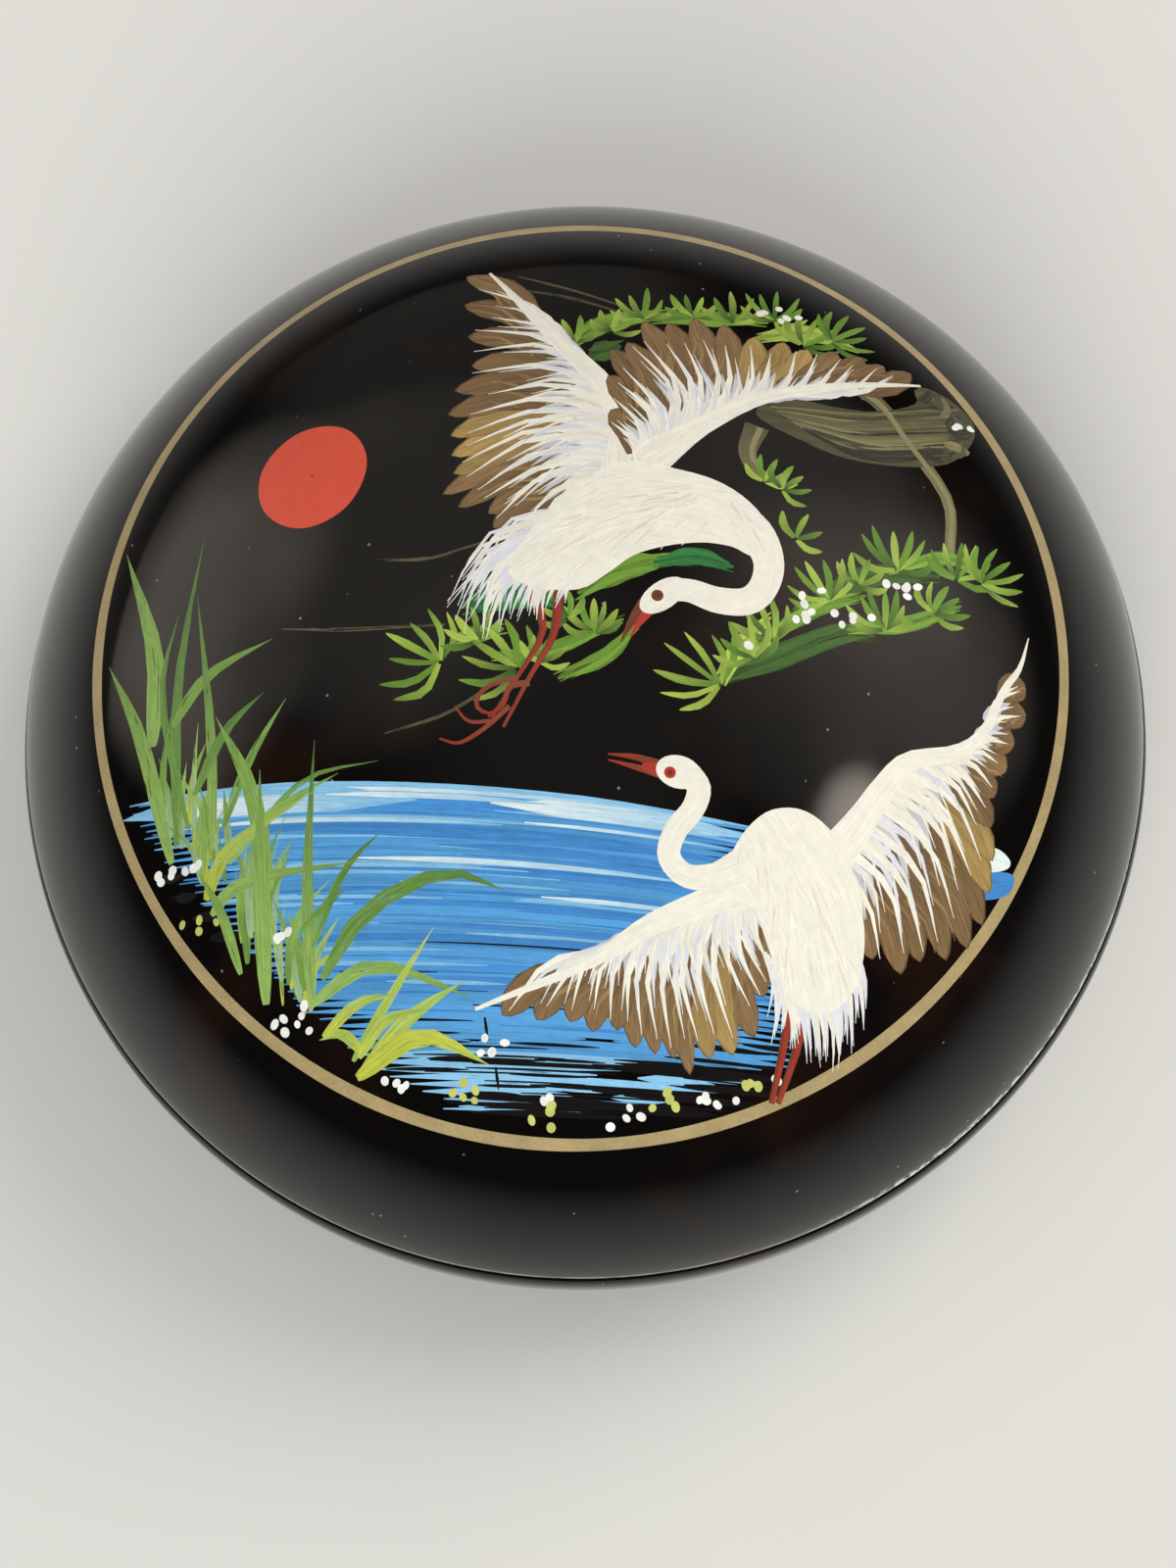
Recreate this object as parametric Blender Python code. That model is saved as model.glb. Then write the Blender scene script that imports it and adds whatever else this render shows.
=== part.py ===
"""Round black lacquer trinket box: a turned base with an upright flange, and a domed lid that lifts off it.

Metres, +Z up. The origin is on the box's axis, at the height of the surface that it stands on.
"""
import math

import bmesh
import bpy

# Outside of the box, whose base stands out a little beyond the lid's edge
LID_RADIUS = 0.057
BASE_STEP = 0.0005
LID_RISE = 0.0315
BASE_HEIGHT = 0.018

# Shape of the dome: more fullness gives a flatter crown, and a power under 1 makes its side end upright
DOME_FULLNESS = 0.35
DOME_POWER = 0.75

# Lid
LID_WALL = 0.0025
RIM_WIDTH = 0.005
LID_EDGE_ROUND = 0.0004

# Base, whose side rounds out from the seam, is upright for a short way and then curves in to the underside
SHOULDER_WIDTH = 0.0008
SHOULDER_DROP = 0.002
UPRIGHT_BAND = 0.001
SIDE_CURVE_WIDTH = 0.0165
BASE_WALL = 0.003
FLOOR_THICKNESS = 0.003

# Foot ring, set in a little from where the side's curve meets the underside
FOOT_INSET = 0.001
FOOT_WIDTH = 0.003
FOOT_HEIGHT = 0.0015
FOOT_EDGE_ROUND = 0.0004

# Flange on the base, which the lid's rim goes round
FLANGE_HEIGHT = 0.004
FLANGE_WALL = 0.002
FLANGE_EDGE_ROUND = 0.0005

# Clearances between the two pieces
SEAM_GAP = 0.0003
FLANGE_CLEARANCE = 0.0003
FLANGE_HEADROOM = 0.0005

# Finish of the turned wood: black lacquer outside and in
LACQUER_COLOUR = (0.006, 0.0055, 0.0055, 1.0)
LACQUER_ROUGHNESS = 0.08

# Fineness of the turned surfaces
STEPS_AROUND = 60
DOME_STEPS = 14
INNER_DOME_STEPS = 9
SHOULDER_STEPS = 3
SIDE_STEPS = 8
INNER_SIDE_STEPS = 5
ROUND_STEPS = 2
MERGE_DISTANCE = 0.00001
SHARP_ANGLE = math.radians(35)

# Heights and radii that both pieces share
SEAM_HEIGHT = BASE_HEIGHT
LID_BOTTOM = SEAM_HEIGHT + SEAM_GAP
BASE_RADIUS = LID_RADIUS + BASE_STEP
BORE_RADIUS = LID_RADIUS - RIM_WIDTH
BORE_TOP = SEAM_HEIGHT + FLANGE_HEIGHT + FLANGE_HEADROOM
FLANGE_RADIUS = BORE_RADIUS - FLANGE_CLEARANCE
MOUTH_RADIUS = FLANGE_RADIUS - FLANGE_WALL


def dome_height(radius, reach, rise):
    """Height of the dome's surface at a radius."""
    share = (radius / reach) ** 2
    return rise * ((1.0 - share) / (1.0 - DOME_FULLNESS * share)) ** DOME_POWER


def dome_radius(height, reach, rise):
    """Radius of the dome's surface at a height: dome_height turned round."""
    share = (height / rise) ** (1.0 / DOME_POWER)
    return reach * math.sqrt((1.0 - share) / (1.0 - DOME_FULLNESS * share))


def dome_curve(reach, rise, outer_radius, steps):
    """Points (radius, height) down a dome from its crown, closer together where it is steep."""
    last_angle = math.asin(outer_radius / reach)
    curve = []
    for step in range(steps + 1):
        radius = reach * math.sin(last_angle * step / steps)
        curve.append((radius, dome_height(radius, reach, rise)))
    return curve


def side_curve(centre_radius, centre_height, width, drop, start_angle, steps):
    """Points on a quarter ellipse, from start_angle off level round to its lowest point.

    A negative drop gives the quarter above level instead, up to its highest point.
    """
    curve = []
    for step in range(steps + 1):
        angle = start_angle + (math.pi / 2 - start_angle) * step / steps
        curve.append((centre_radius + width * math.cos(angle), centre_height - drop * math.sin(angle)))
    return curve


def towards(start, end, distance):
    """The point at a distance from start on the way to end, at most half of the way."""
    length = math.dist(start, end)
    share = min(distance / length, 0.5)
    return tuple(a + (b - a) * share for a, b in zip(start, end))


def with_rounds(corners):
    """Outline of (point, round) corners, in which each corner with a round becomes a short curve."""
    outline = []
    for index, (point, size) in enumerate(corners):
        if size == 0:
            outline.append(point)
            continue
        start = towards(point, corners[index - 1][0], size)
        end = towards(point, corners[index + 1][0], size)
        for step in range(ROUND_STEPS + 1):
            share = step / ROUND_STEPS
            outline.append(tuple(
                (1 - share) ** 2 * a + 2 * share * (1 - share) * b + share ** 2 * c
                for a, b, c in zip(start, point, end)
            ))
    return outline


def lid_outline():
    """From the crown down the outside, across the rim, up the bore and along the inside to the axis."""
    outside = dome_curve(LID_RADIUS, LID_RISE, LID_RADIUS, DOME_STEPS)
    inner_reach = LID_RADIUS - LID_WALL
    inner_rise = LID_RISE - LID_WALL
    radius_at_bore_top = dome_radius(BORE_TOP - LID_BOTTOM, inner_reach, inner_rise)
    inside = dome_curve(inner_reach, inner_rise, min(BORE_RADIUS, radius_at_bore_top), INNER_DOME_STEPS)

    corners = [((radius, LID_BOTTOM + height), 0) for radius, height in outside[:-1]]
    corners.append(((LID_RADIUS, LID_BOTTOM), LID_EDGE_ROUND))
    corners.append(((BORE_RADIUS, LID_BOTTOM), LID_EDGE_ROUND))
    if radius_at_bore_top < BORE_RADIUS:
        corners.append(((BORE_RADIUS, BORE_TOP), 0))
    corners += [((radius, LID_BOTTOM + height), 0) for radius, height in reversed(inside)]
    return with_rounds(corners)


def base_outline():
    """From the middle of the floor up the inside, over the flange, down the outside and under the foot."""
    centre_radius = BASE_RADIUS - SIDE_CURVE_WIDTH
    centre_height = SEAM_HEIGHT - SHOULDER_DROP - UPRIGHT_BAND
    floor_height = FOOT_HEIGHT + FLOOR_THICKNESS
    inner_width = SIDE_CURVE_WIDTH - BASE_WALL
    mouth_share = max(0.0, min(1.0, (MOUTH_RADIUS - centre_radius) / inner_width))
    inside = side_curve(centre_radius, centre_height, inner_width, centre_height - floor_height,
                        math.acos(mouth_share), INNER_SIDE_STEPS)
    outside = side_curve(centre_radius, centre_height, SIDE_CURVE_WIDTH, centre_height - FOOT_HEIGHT,
                         0.0, SIDE_STEPS)
    shoulder = side_curve(BASE_RADIUS - SHOULDER_WIDTH, SEAM_HEIGHT - SHOULDER_DROP, SHOULDER_WIDTH,
                          -SHOULDER_DROP, 0.0, SHOULDER_STEPS)
    flange_top = SEAM_HEIGHT + FLANGE_HEIGHT
    foot_outside = centre_radius - FOOT_INSET
    foot_inside = foot_outside - FOOT_WIDTH

    corners = [((0.0, floor_height), 0)]
    corners += [(point, 0) for point in reversed(inside)]
    corners.append(((MOUTH_RADIUS, flange_top), FLANGE_EDGE_ROUND))
    corners.append(((FLANGE_RADIUS, flange_top), FLANGE_EDGE_ROUND))
    corners.append(((FLANGE_RADIUS, SEAM_HEIGHT), 0))
    corners += [(point, 0) for point in reversed(shoulder)]
    corners += [(point, 0) for point in outside]
    corners.append(((foot_outside, FOOT_HEIGHT), 0))
    corners.append(((foot_outside, 0.0), FOOT_EDGE_ROUND))
    corners.append(((foot_inside, 0.0), FOOT_EDGE_ROUND))
    corners.append(((foot_inside, FOOT_HEIGHT), 0))
    corners.append(((0.0, FOOT_HEIGHT), 0))
    return with_rounds(corners)


def lacquer(name):
    """Black gloss lacquer."""
    material = bpy.data.materials.new(name)
    material.use_nodes = True
    shader = material.node_tree.nodes["Principled BSDF"]
    shader.inputs["Base Color"].default_value = LACQUER_COLOUR
    shader.inputs["Roughness"].default_value = LACQUER_ROUGHNESS
    shader.inputs["Metallic"].default_value = 0.0
    material.diffuse_color = LACQUER_COLOUR
    return material


def turned_piece(name, outline, material):
    """A solid turned about the Z axis from an outline whose two ends lie on that axis."""
    form = bmesh.new()
    points = [form.verts.new((radius, 0.0, height)) for radius, height in outline]
    edges = [form.edges.new(pair) for pair in zip(points, points[1:])]
    bmesh.ops.spin(form, geom=points + edges, cent=(0, 0, 0), axis=(0, 0, 1),
                   angle=2 * math.pi, steps=STEPS_AROUND)
    bmesh.ops.remove_doubles(form, verts=form.verts, dist=MERGE_DISTANCE)
    bmesh.ops.recalc_face_normals(form, faces=form.faces)
    mesh = bpy.data.meshes.new(name)
    form.to_mesh(mesh)
    form.free()
    mesh.shade_smooth()
    mesh.set_sharp_from_angle(angle=SHARP_ANGLE)
    mesh.materials.append(material)
    piece = bpy.data.objects.new(name, mesh)
    bpy.context.scene.collection.objects.link(piece)
    return piece


def main():
    for item in list(bpy.data.objects):
        bpy.data.objects.remove(item, do_unlink=True)
    turned_piece("base", base_outline(), lacquer("base_lacquer"))
    turned_piece("lid", lid_outline(), lacquer("lid_lacquer"))


main()
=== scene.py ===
"""A round black lacquer trinket box with a painted lid, laid out as a Blender add-on.

The box is a turned base and a domed lid. The lid's top carries a flat painting: two white cranes, a pine
with blossom, a vermilion sun, a pond and reeds, inside a gold line. Everything is in metres, except the
painting, which is worked out in millimetres on the lid's plan and then laid on its dome.
"""
import math
import random
from dataclasses import dataclass

import bpy
import numpy as np
from mathutils import Matrix, Vector
from mathutils.geometry import delaunay_2d_cdt


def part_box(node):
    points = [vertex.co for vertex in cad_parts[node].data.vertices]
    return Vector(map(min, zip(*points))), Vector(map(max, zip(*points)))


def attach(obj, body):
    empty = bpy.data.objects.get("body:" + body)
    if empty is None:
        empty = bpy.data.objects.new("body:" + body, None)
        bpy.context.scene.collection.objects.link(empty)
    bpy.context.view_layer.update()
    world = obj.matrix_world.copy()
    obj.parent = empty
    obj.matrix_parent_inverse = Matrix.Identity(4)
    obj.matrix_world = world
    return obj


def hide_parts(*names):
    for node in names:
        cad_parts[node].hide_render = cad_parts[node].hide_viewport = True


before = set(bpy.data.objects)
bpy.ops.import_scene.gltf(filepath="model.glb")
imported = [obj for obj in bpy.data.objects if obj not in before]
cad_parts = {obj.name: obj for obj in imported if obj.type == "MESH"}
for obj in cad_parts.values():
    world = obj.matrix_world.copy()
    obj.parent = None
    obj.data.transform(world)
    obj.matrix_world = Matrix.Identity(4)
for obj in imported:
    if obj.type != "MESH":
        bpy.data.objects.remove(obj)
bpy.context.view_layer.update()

BASE_LOW, BASE_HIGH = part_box("base")
LID_LOW, LID_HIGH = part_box("lid")

bl_info = {
    "name": "Lacquer Trinket Box",
    "version": (1, 0, 0),
    "blender": (4, 5, 0),
    "location": "View3D > Sidebar > Trinket Box",
    "description": "Round black lacquer box with a painted, domed lid",
    "category": "Object",
}

MM = 0.001
BODY = "root"


def length_property(name, description, default):
    """A length in metres."""
    return bpy.props.FloatProperty(name=name, description=description, default=default,
                                   min=0.0, precision=5, subtype="DISTANCE", unit="LENGTH")


def angle_property(name, description, degrees):
    """An angle, given in degrees."""
    return bpy.props.FloatProperty(name=name, description=description, default=math.radians(degrees),
                                   subtype="ANGLE", unit="ROTATION")


def colour_property(name, description, red, green, blue):
    """A colour as it shows on screen, each part from 0 to 255."""
    return bpy.props.FloatVectorProperty(name=name, description=description, size=3, min=0.0, max=1.0,
                                         subtype="COLOR_GAMMA", default=(red / 255, green / 255, blue / 255))


class TrinketBoxSizes(bpy.types.PropertyGroup):
    """Sizes of the box, as turned."""

    lid_radius: length_property("Lid Radius", "Radius of the lid at its rim", LID_HIGH.x)
    base_radius: length_property("Base Radius", "Radius of the base, wider than the lid", BASE_HIGH.x)
    lid_rise: length_property("Lid Rise", "Height of the lid above its rim", LID_HIGH.z - LID_LOW.z)
    lid_bottom: length_property("Lid Bottom", "Height of the lid's rim above the table", LID_LOW.z)
    lid_wall: length_property("Lid Wall", "Thickness of the dome", 0.0025)
    rim_width: length_property("Rim Width", "Width of the lid's rim", 0.005)
    lid_edge: length_property("Lid Edge", "Round on the edges of the lid's rim", 0.0004)
    seam_gap: length_property("Seam Gap", "Gap between lid and base", 0.0003)
    shoulder_width: length_property("Shoulder Width", "How far the base rounds out from the seam", 0.0008)
    shoulder_drop: length_property("Shoulder Drop", "Height over which the base rounds out", 0.002)
    upright_band: length_property("Upright Band", "Height of the upright side under the shoulder", 0.001)
    side_curve: length_property("Side Curve", "How far the base's side curves in", 0.0165)
    base_wall: length_property("Base Wall", "Thickness of the base's side", 0.003)
    floor_thickness: length_property("Floor Thickness", "Thickness of the base's floor", 0.003)
    flange_edge: length_property("Flange Edge", "Round on the flange's edges", 0.0005)
    foot_inset: length_property("Foot Inset", "From the end of the side's curve to the foot ring", 0.001)
    foot_width: length_property("Foot Width", "Width of the foot ring", 0.003)
    foot_height: length_property("Foot Height", "Height of the foot ring", 0.0015)
    flange_height: length_property("Flange Height", "Height of the flange above the seam", 0.004)
    flange_wall: length_property("Flange Wall", "Thickness of the flange", 0.002)
    flange_clearance: length_property("Flange Clearance", "Gap between flange and lid", 0.0003)
    flange_headroom: length_property("Flange Headroom", "Room above the flange", 0.0005)


class TrinketBoxPainting(bpy.types.PropertyGroup):
    """Sizes and colours of the painting on the lid."""

    line_radius: length_property("Line Radius", "Radius of the gold line round the painting", 0.0467)
    line_width: length_property("Line Width", "Width of the gold line", 0.00106)
    sun_radius: length_property("Sun Radius", "Radius of the sun", 0.0056)
    dot_size: length_property("Dot Size", "Width of a blossom dot", 0.0008)
    gold: colour_property("Gold", "The line round the painting", 180, 158, 112)
    vermilion: colour_property("Vermilion", "The sun", 214, 78, 54)
    white: colour_property("White", "The cranes' bodies", 236, 230, 214)
    cool_white: colour_property("Cool White", "Wing strokes", 222, 221, 225)
    cream: colour_property("Cream", "Warmer strokes on the bodies", 229, 220, 198)
    feather_brown: colour_property("Feather Brown", "Dark wing feathers", 126, 98, 64)
    feather_bronze: colour_property("Feather Bronze", "Light streaks on the feathers", 160, 130, 86)
    feather_gold: colour_property("Feather Gold", "Golden wing feathers", 164, 134, 78)
    leg_red: colour_property("Leg Red", "Legs and beaks", 172, 54, 38)
    leg_brown: colour_property("Leg Brown", "Shaded side of legs and beaks", 112, 58, 38)
    pine_dark: colour_property("Pine Dark", "Shaded pine needles", 60, 92, 36)
    pine_green: colour_property("Pine Green", "Pine needles", 108, 146, 48)
    pine_light: colour_property("Pine Light", "Lit pine needles", 162, 184, 74)
    pine_emerald: colour_property("Pine Emerald", "Cooler green leaves", 44, 116, 56)
    bark: colour_property("Bark", "Trunk and twigs", 96, 92, 64)
    bark_light: colour_property("Light Bark", "Lit side of the trunk", 134, 126, 88)
    bark_dark: colour_property("Dark Bark", "Shaded side of the trunk", 60, 60, 46)
    reed_dark: colour_property("Reed Dark", "Tips of the reeds", 84, 124, 54)
    reed_green: colour_property("Reed Green", "Reeds", 118, 156, 68)
    reed_light: colour_property("Reed Light", "Lit reeds", 150, 182, 92)
    reed_pale: colour_property("Reed Pale", "Thin, pale reeds", 158, 186, 142)
    reed_yellow: colour_property("Reed Yellow", "Yellow reeds", 190, 198, 70)
    pond_blue: colour_property("Pond Blue", "Water", 80, 152, 208)
    pond_deep: colour_property("Pond Deep", "Darker water", 64, 134, 200)
    pond_light: colour_property("Pond Light", "Lighter water", 132, 188, 224)
    pond_white: colour_property("Pond White", "Light on the water", 226, 236, 230)
    blossom: colour_property("Blossom", "White dots", 244, 242, 234)
    blossom_yellow: colour_property("Yellow Blossom", "Yellow dots", 198, 200, 104)
    black: colour_property("Black", "Lacquer under the paint", 18, 16, 15)


class TrinketBoxView(bpy.types.PropertyGroup):
    """Camera and table colour."""

    elevation: angle_property("Elevation", "Camera's height above the horizon", 73.262)
    roll: angle_property("Roll", "Turn of the camera about its view", -4.42)
    distance: length_property("Distance", "From the camera to the seam", 0.29804)
    aim_y: bpy.props.FloatProperty(name="Aim Y", description="Where the view meets the seam's plane",
                                   default=-0.00707, precision=5, subtype="DISTANCE", unit="LENGTH")
    lens: bpy.props.FloatProperty(name="Lens", description="Focal length in millimetres on a 36 mm frame",
                                  default=67.5, min=1.0)
    table: colour_property("Table", "Pale floor", 225, 222, 216)


# Fineness of the turned surfaces and of the painting's ground
STEPS_AROUND = 240
DOME_STEPS_TO_RIM = 18
INNER_DOME_STEPS = 16
SHOULDER_STEPS = 6
SIDE_STEPS = 16
ROUND_STEPS = 4
PAINTED_RADIUS = 49.5
GROUND_PITCH = 1.9
RING_STEPS = 720
MERGE_GAP = 1e-5
SHARP_ANGLE = math.radians(35)

# Shape of the dome, as it is turned
DOME_FULLNESS = 0.35
DOME_POWER = 0.75


def dome_height(radius, reach, rise):
    """Height of the dome's surface at a radius, for numbers and arrays."""
    share = (radius / reach) ** 2
    return rise * ((1.0 - share) / (1.0 - DOME_FULLNESS * share)) ** DOME_POWER


def dome_slope(radius, reach, rise):
    """Fall of the dome's surface for each unit of radius."""
    share = (radius / reach) ** 2
    under = 1.0 - DOME_FULLNESS * share
    base = np.maximum((1.0 - share) / under, 1e-6)
    turn = 2.0 * radius / reach ** 2 * (1.0 - DOME_FULLNESS) / under ** 2
    return rise * DOME_POWER * base ** (DOME_POWER - 1.0) * turn


def dome_radius(height, reach, rise):
    """Radius of the dome's surface at a height."""
    share = (height / rise) ** (1.0 / DOME_POWER)
    return reach * math.sqrt((1.0 - share) / (1.0 - DOME_FULLNESS * share))


def dome_curve(reach, rise, first_radius, last_radius, steps):
    """Points (radius, height) down a dome, closer together where it is steep."""
    first = math.asin(first_radius / reach)
    last = math.asin(last_radius / reach)
    angles = [first + (last - first) * step / steps for step in range(steps + 1)]
    radii = [reach * math.sin(angle) for angle in angles]
    return [(radius, float(dome_height(radius, reach, rise))) for radius in radii]


def side_curve(centre_radius, centre_height, width, drop, start_angle, steps):
    """Points on a quarter ellipse, from start_angle below level round to its lowest point.

    A negative drop gives the quarter above level instead, up to its highest point.
    """
    angles = [start_angle + (math.pi / 2 - start_angle) * step / steps for step in range(steps + 1)]
    return [(centre_radius + width * math.cos(angle), centre_height - drop * math.sin(angle))
            for angle in angles]


def towards(start, end, distance):
    """The point at a distance from start on the way to end, at most half of the way."""
    share = min(distance / math.dist(start, end), 0.5)
    return tuple(a + (b - a) * share for a, b in zip(start, end))


def with_rounds(corners):
    """Outline of (point, round) corners, in which each corner with a round becomes a short curve."""
    outline = []
    for index, (point, size) in enumerate(corners):
        if size == 0:
            outline.append(point)
            continue
        start = towards(point, corners[index - 1][0], size)
        end = towards(point, corners[index + 1][0], size)
        for step in range(ROUND_STEPS + 1):
            share = step / ROUND_STEPS
            outline.append(tuple(
                (1 - share) ** 2 * a + 2 * share * (1 - share) * b + share ** 2 * c
                for a, b, c in zip(start, point, end)
            ))
    return outline


def lid_outline(sizes):
    """From the painted ground's edge down the outside, across the rim and along the inside to the axis."""
    outside = dome_curve(sizes.lid_radius, sizes.lid_rise, PAINTED_RADIUS * MM, sizes.lid_radius,
                         DOME_STEPS_TO_RIM)
    bore_radius = sizes.lid_radius - sizes.rim_width
    bore_height = sizes.flange_height + sizes.flange_headroom - sizes.seam_gap
    inner_reach = sizes.lid_radius - sizes.lid_wall
    inner_rise = sizes.lid_rise - sizes.lid_wall
    radius_at_bore_top = dome_radius(bore_height, inner_reach, inner_rise)
    inside = dome_curve(inner_reach, inner_rise, 0.0, min(bore_radius, radius_at_bore_top),
                        INNER_DOME_STEPS)
    corners = [(point, 0) for point in outside[:-1]]
    corners.append(((sizes.lid_radius, 0.0), sizes.lid_edge))
    corners.append(((bore_radius, 0.0), sizes.lid_edge))
    if radius_at_bore_top < bore_radius:
        corners.append(((bore_radius, bore_height), 0))
    corners += [(point, 0) for point in reversed(inside)]
    return [(radius, sizes.lid_bottom + height) for radius, height in with_rounds(corners)]


def base_outline(sizes):
    """From the middle of the floor up the inside, over the flange, down the outside and under the foot."""
    seam = sizes.lid_bottom - sizes.seam_gap
    flange_radius = sizes.lid_radius - sizes.rim_width - sizes.flange_clearance
    mouth_radius = flange_radius - sizes.flange_wall
    flange_top = seam + sizes.flange_height
    centre_radius = sizes.base_radius - sizes.side_curve
    centre_height = seam - sizes.shoulder_drop - sizes.upright_band
    floor_height = sizes.foot_height + sizes.floor_thickness
    inner_width = sizes.side_curve - sizes.base_wall
    start = math.acos(max(0.0, min(1.0, (mouth_radius - centre_radius) / inner_width)))
    inside = side_curve(centre_radius, centre_height, inner_width, centre_height - floor_height,
                        start, SIDE_STEPS // 2)
    outside = side_curve(centre_radius, centre_height, sizes.side_curve, centre_height - sizes.foot_height,
                         0.0, SIDE_STEPS)
    shoulder = side_curve(sizes.base_radius - sizes.shoulder_width, seam - sizes.shoulder_drop,
                          sizes.shoulder_width, -sizes.shoulder_drop, 0.0, SHOULDER_STEPS)
    foot_outside = centre_radius - sizes.foot_inset
    foot_inside = foot_outside - sizes.foot_width
    corners = [((0.0, floor_height), 0)]
    corners += [(point, 0) for point in reversed(inside)]
    corners.append(((mouth_radius, flange_top), sizes.flange_edge))
    corners.append(((flange_radius, flange_top), sizes.flange_edge))
    corners.append(((flange_radius, seam), 0))
    corners += [(point, 0) for point in reversed(shoulder)]
    corners += [(point, 0) for point in outside]
    corners.append(((foot_outside, sizes.foot_height), 0))
    corners.append(((foot_outside, 0.0), sizes.lid_edge))
    corners.append(((foot_inside, 0.0), sizes.lid_edge))
    corners.append(((foot_inside, sizes.foot_height), 0))
    corners.append(((0.0, sizes.foot_height), 0))
    return with_rounds(corners)


# Strokes of the painting, in millimetres on the lid's plan


@dataclass
class Stroke:
    """One flat brush stroke: its outline, the line along its middle, its colours and its touch.

    dry is how much of the ground shows through it, and streak how strongly the bristles mark it.
    """

    outline: np.ndarray
    spine: np.ndarray
    colour: tuple
    tip: tuple
    dry: float
    streak: float


def linear(colour, shade=1.0):
    """A screen colour as scene-linear red, green and blue, made lighter or darker by shade."""
    parts = [value / 12.92 if value <= 0.04045 else ((value + 0.055) / 1.055) ** 2.4 for value in colour]
    return tuple(min(1.0, value * shade) for value in parts)


def smooth_path(points, places):
    """A smooth curve through points, read at a number of even places or at places given from 0 to 1."""
    if isinstance(places, int):
        places = np.linspace(0, 1, places)
    points = np.array(points, float)
    padded = np.vstack([2 * points[0] - points[1], points, 2 * points[-1] - points[-2]])
    place = np.clip(places, 0, 1) * (len(points) - 1)
    index = np.minimum(place.astype(int), len(points) - 2)
    t = (place - index)[:, None]
    before, start, end, after = (padded[index + step] for step in range(4))
    return 0.5 * (2 * start + (end - before) * t + (2 * before - 5 * start + 4 * end - after) * t ** 2
                  + (3 * start - before - 3 * end + after) * t ** 3)


def point_on(points, place):
    """The point of a smooth curve at one place from 0 to 1."""
    return smooth_path(points, np.array([place]))[0]


def closed_curve(points, fineness):
    """A smooth closed outline through points, with this many steps from each to the next."""
    ring = list(points)
    path = smooth_path(ring[-2:] + ring + ring[:2], (len(ring) + 3) * fineness + 1)
    return path[2 * fineness:-fineness - 1]


def ribbon(path, widths):
    """Closed outline of a stroke along path with these full widths."""
    along = np.gradient(path, axis=0)
    along /= np.maximum(np.linalg.norm(along, axis=1), 1e-9)[:, None]
    side = np.stack([-along[:, 1], along[:, 0]], 1) * (np.array(widths, float) / 2)[:, None]
    return np.vstack([path + side, (path - side)[::-1]])


def needle_widths(width, t):
    """A loaded brush lifted slowly: full near its root, running out to a long point."""
    return np.maximum(width * np.minimum(1.0, 0.6 + 4.0 * t) * (1 - t) ** 0.85, 0.06)


def blade_widths(width, t):
    """A grass blade: narrow at its root, widest low down, ending in a long point."""
    return np.maximum(width * np.sin(np.pi * (0.12 + 0.88 * t ** 0.75)), 0.05)


def petal_widths(width, t):
    """A pressed brush mark: narrower at its root, full past the middle, with a round end."""
    swell = 0.5 + 0.5 * np.sin(np.pi * np.minimum(t, 0.6) / 1.2)
    close = np.maximum(0.0, 1 - (np.maximum(t - 0.66, 0) / 0.34) ** 2.2) ** 0.7
    return np.maximum(width * swell * close, 0.05)


def leaf_widths(width, t):
    """A pine needle's brush mark: thin at its root, full past the middle, with a blunt point."""
    swell = 0.55 + 0.45 * np.sin(np.pi / 2 * np.minimum(t / 0.6, 1.0))
    return np.maximum(width * swell * np.minimum(1.0, (1 - t) / 0.3) ** 0.6, 0.05)


class Painting:
    """The strokes, bottom one first."""

    def __init__(self, settings):
        self.settings = settings
        self.strokes = []

    def colour(self, name, shade=1.0):
        return linear(getattr(self.settings, name), shade)

    def add(self, outline, spine, colour, tip=None, dry=0.0, streak=1.0):
        self.strokes.append(Stroke(np.array(outline), np.array(spine), colour, tip or colour, dry, streak))

    def stroke(self, points, width, shape, colour, tip=None, steps=7, **touch):
        """A stroke through a few points, read more closely near its ends."""
        places = (1 - np.cos(np.linspace(0, np.pi, steps))) / 2
        path = smooth_path(points, places)
        self.add(ribbon(path, shape(width, places)), path, colour, tip, **touch)

    def band(self, points, widths, colour, tip=None, steps=10, **touch):
        """A stroke whose width is given at even places along it."""
        path = smooth_path(points, steps)
        full = np.interp(np.linspace(0, 1, steps), np.linspace(0, 1, len(widths)), widths)
        self.add(ribbon(path, np.maximum(full, 0.04)), path, colour, tip, **touch)

    def patch(self, points, colour, spine, tip=None, **touch):
        """A filled shape with a smooth outline."""
        self.add(closed_curve(points, 4), spine, colour, tip, **touch)

    def disc(self, centre, radii, lean, colour, steps=20, **touch):
        """A round or oval spot."""
        angles = np.linspace(0, 2 * math.pi, steps, endpoint=False)
        turned = np.array([[math.cos(lean), math.sin(lean)], [-math.sin(lean), math.cos(lean)]])
        outline = np.stack([radii[0] * np.cos(angles), radii[1] * np.sin(angles)], 1) @ turned + centre
        half = np.array([radii[0] * math.cos(lean), radii[0] * math.sin(lean)])
        self.add(outline, [centre - half, centre + half], colour, **touch)

    def dots(self, x, y, count, spread, name, rng):
        """A few dabs of paint round a place, none quite round."""
        for _ in range(count):
            size = self.settings.dot_size / MM / 2 * rng.uniform(0.8, 1.15)
            squeeze = rng.uniform(0.82, 1.18)
            centre = np.array([x + rng.gauss(0, spread), y + rng.gauss(0, spread * 0.55)])
            centre *= min(1.0, (self.settings.line_radius / MM - 1.3) / np.hypot(*centre))
            self.disc(centre, (size * squeeze, size / squeeze), rng.uniform(0, math.pi),
                      self.colour(name, rng.uniform(0.85, 1.05)), steps=10, streak=0.5)


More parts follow.
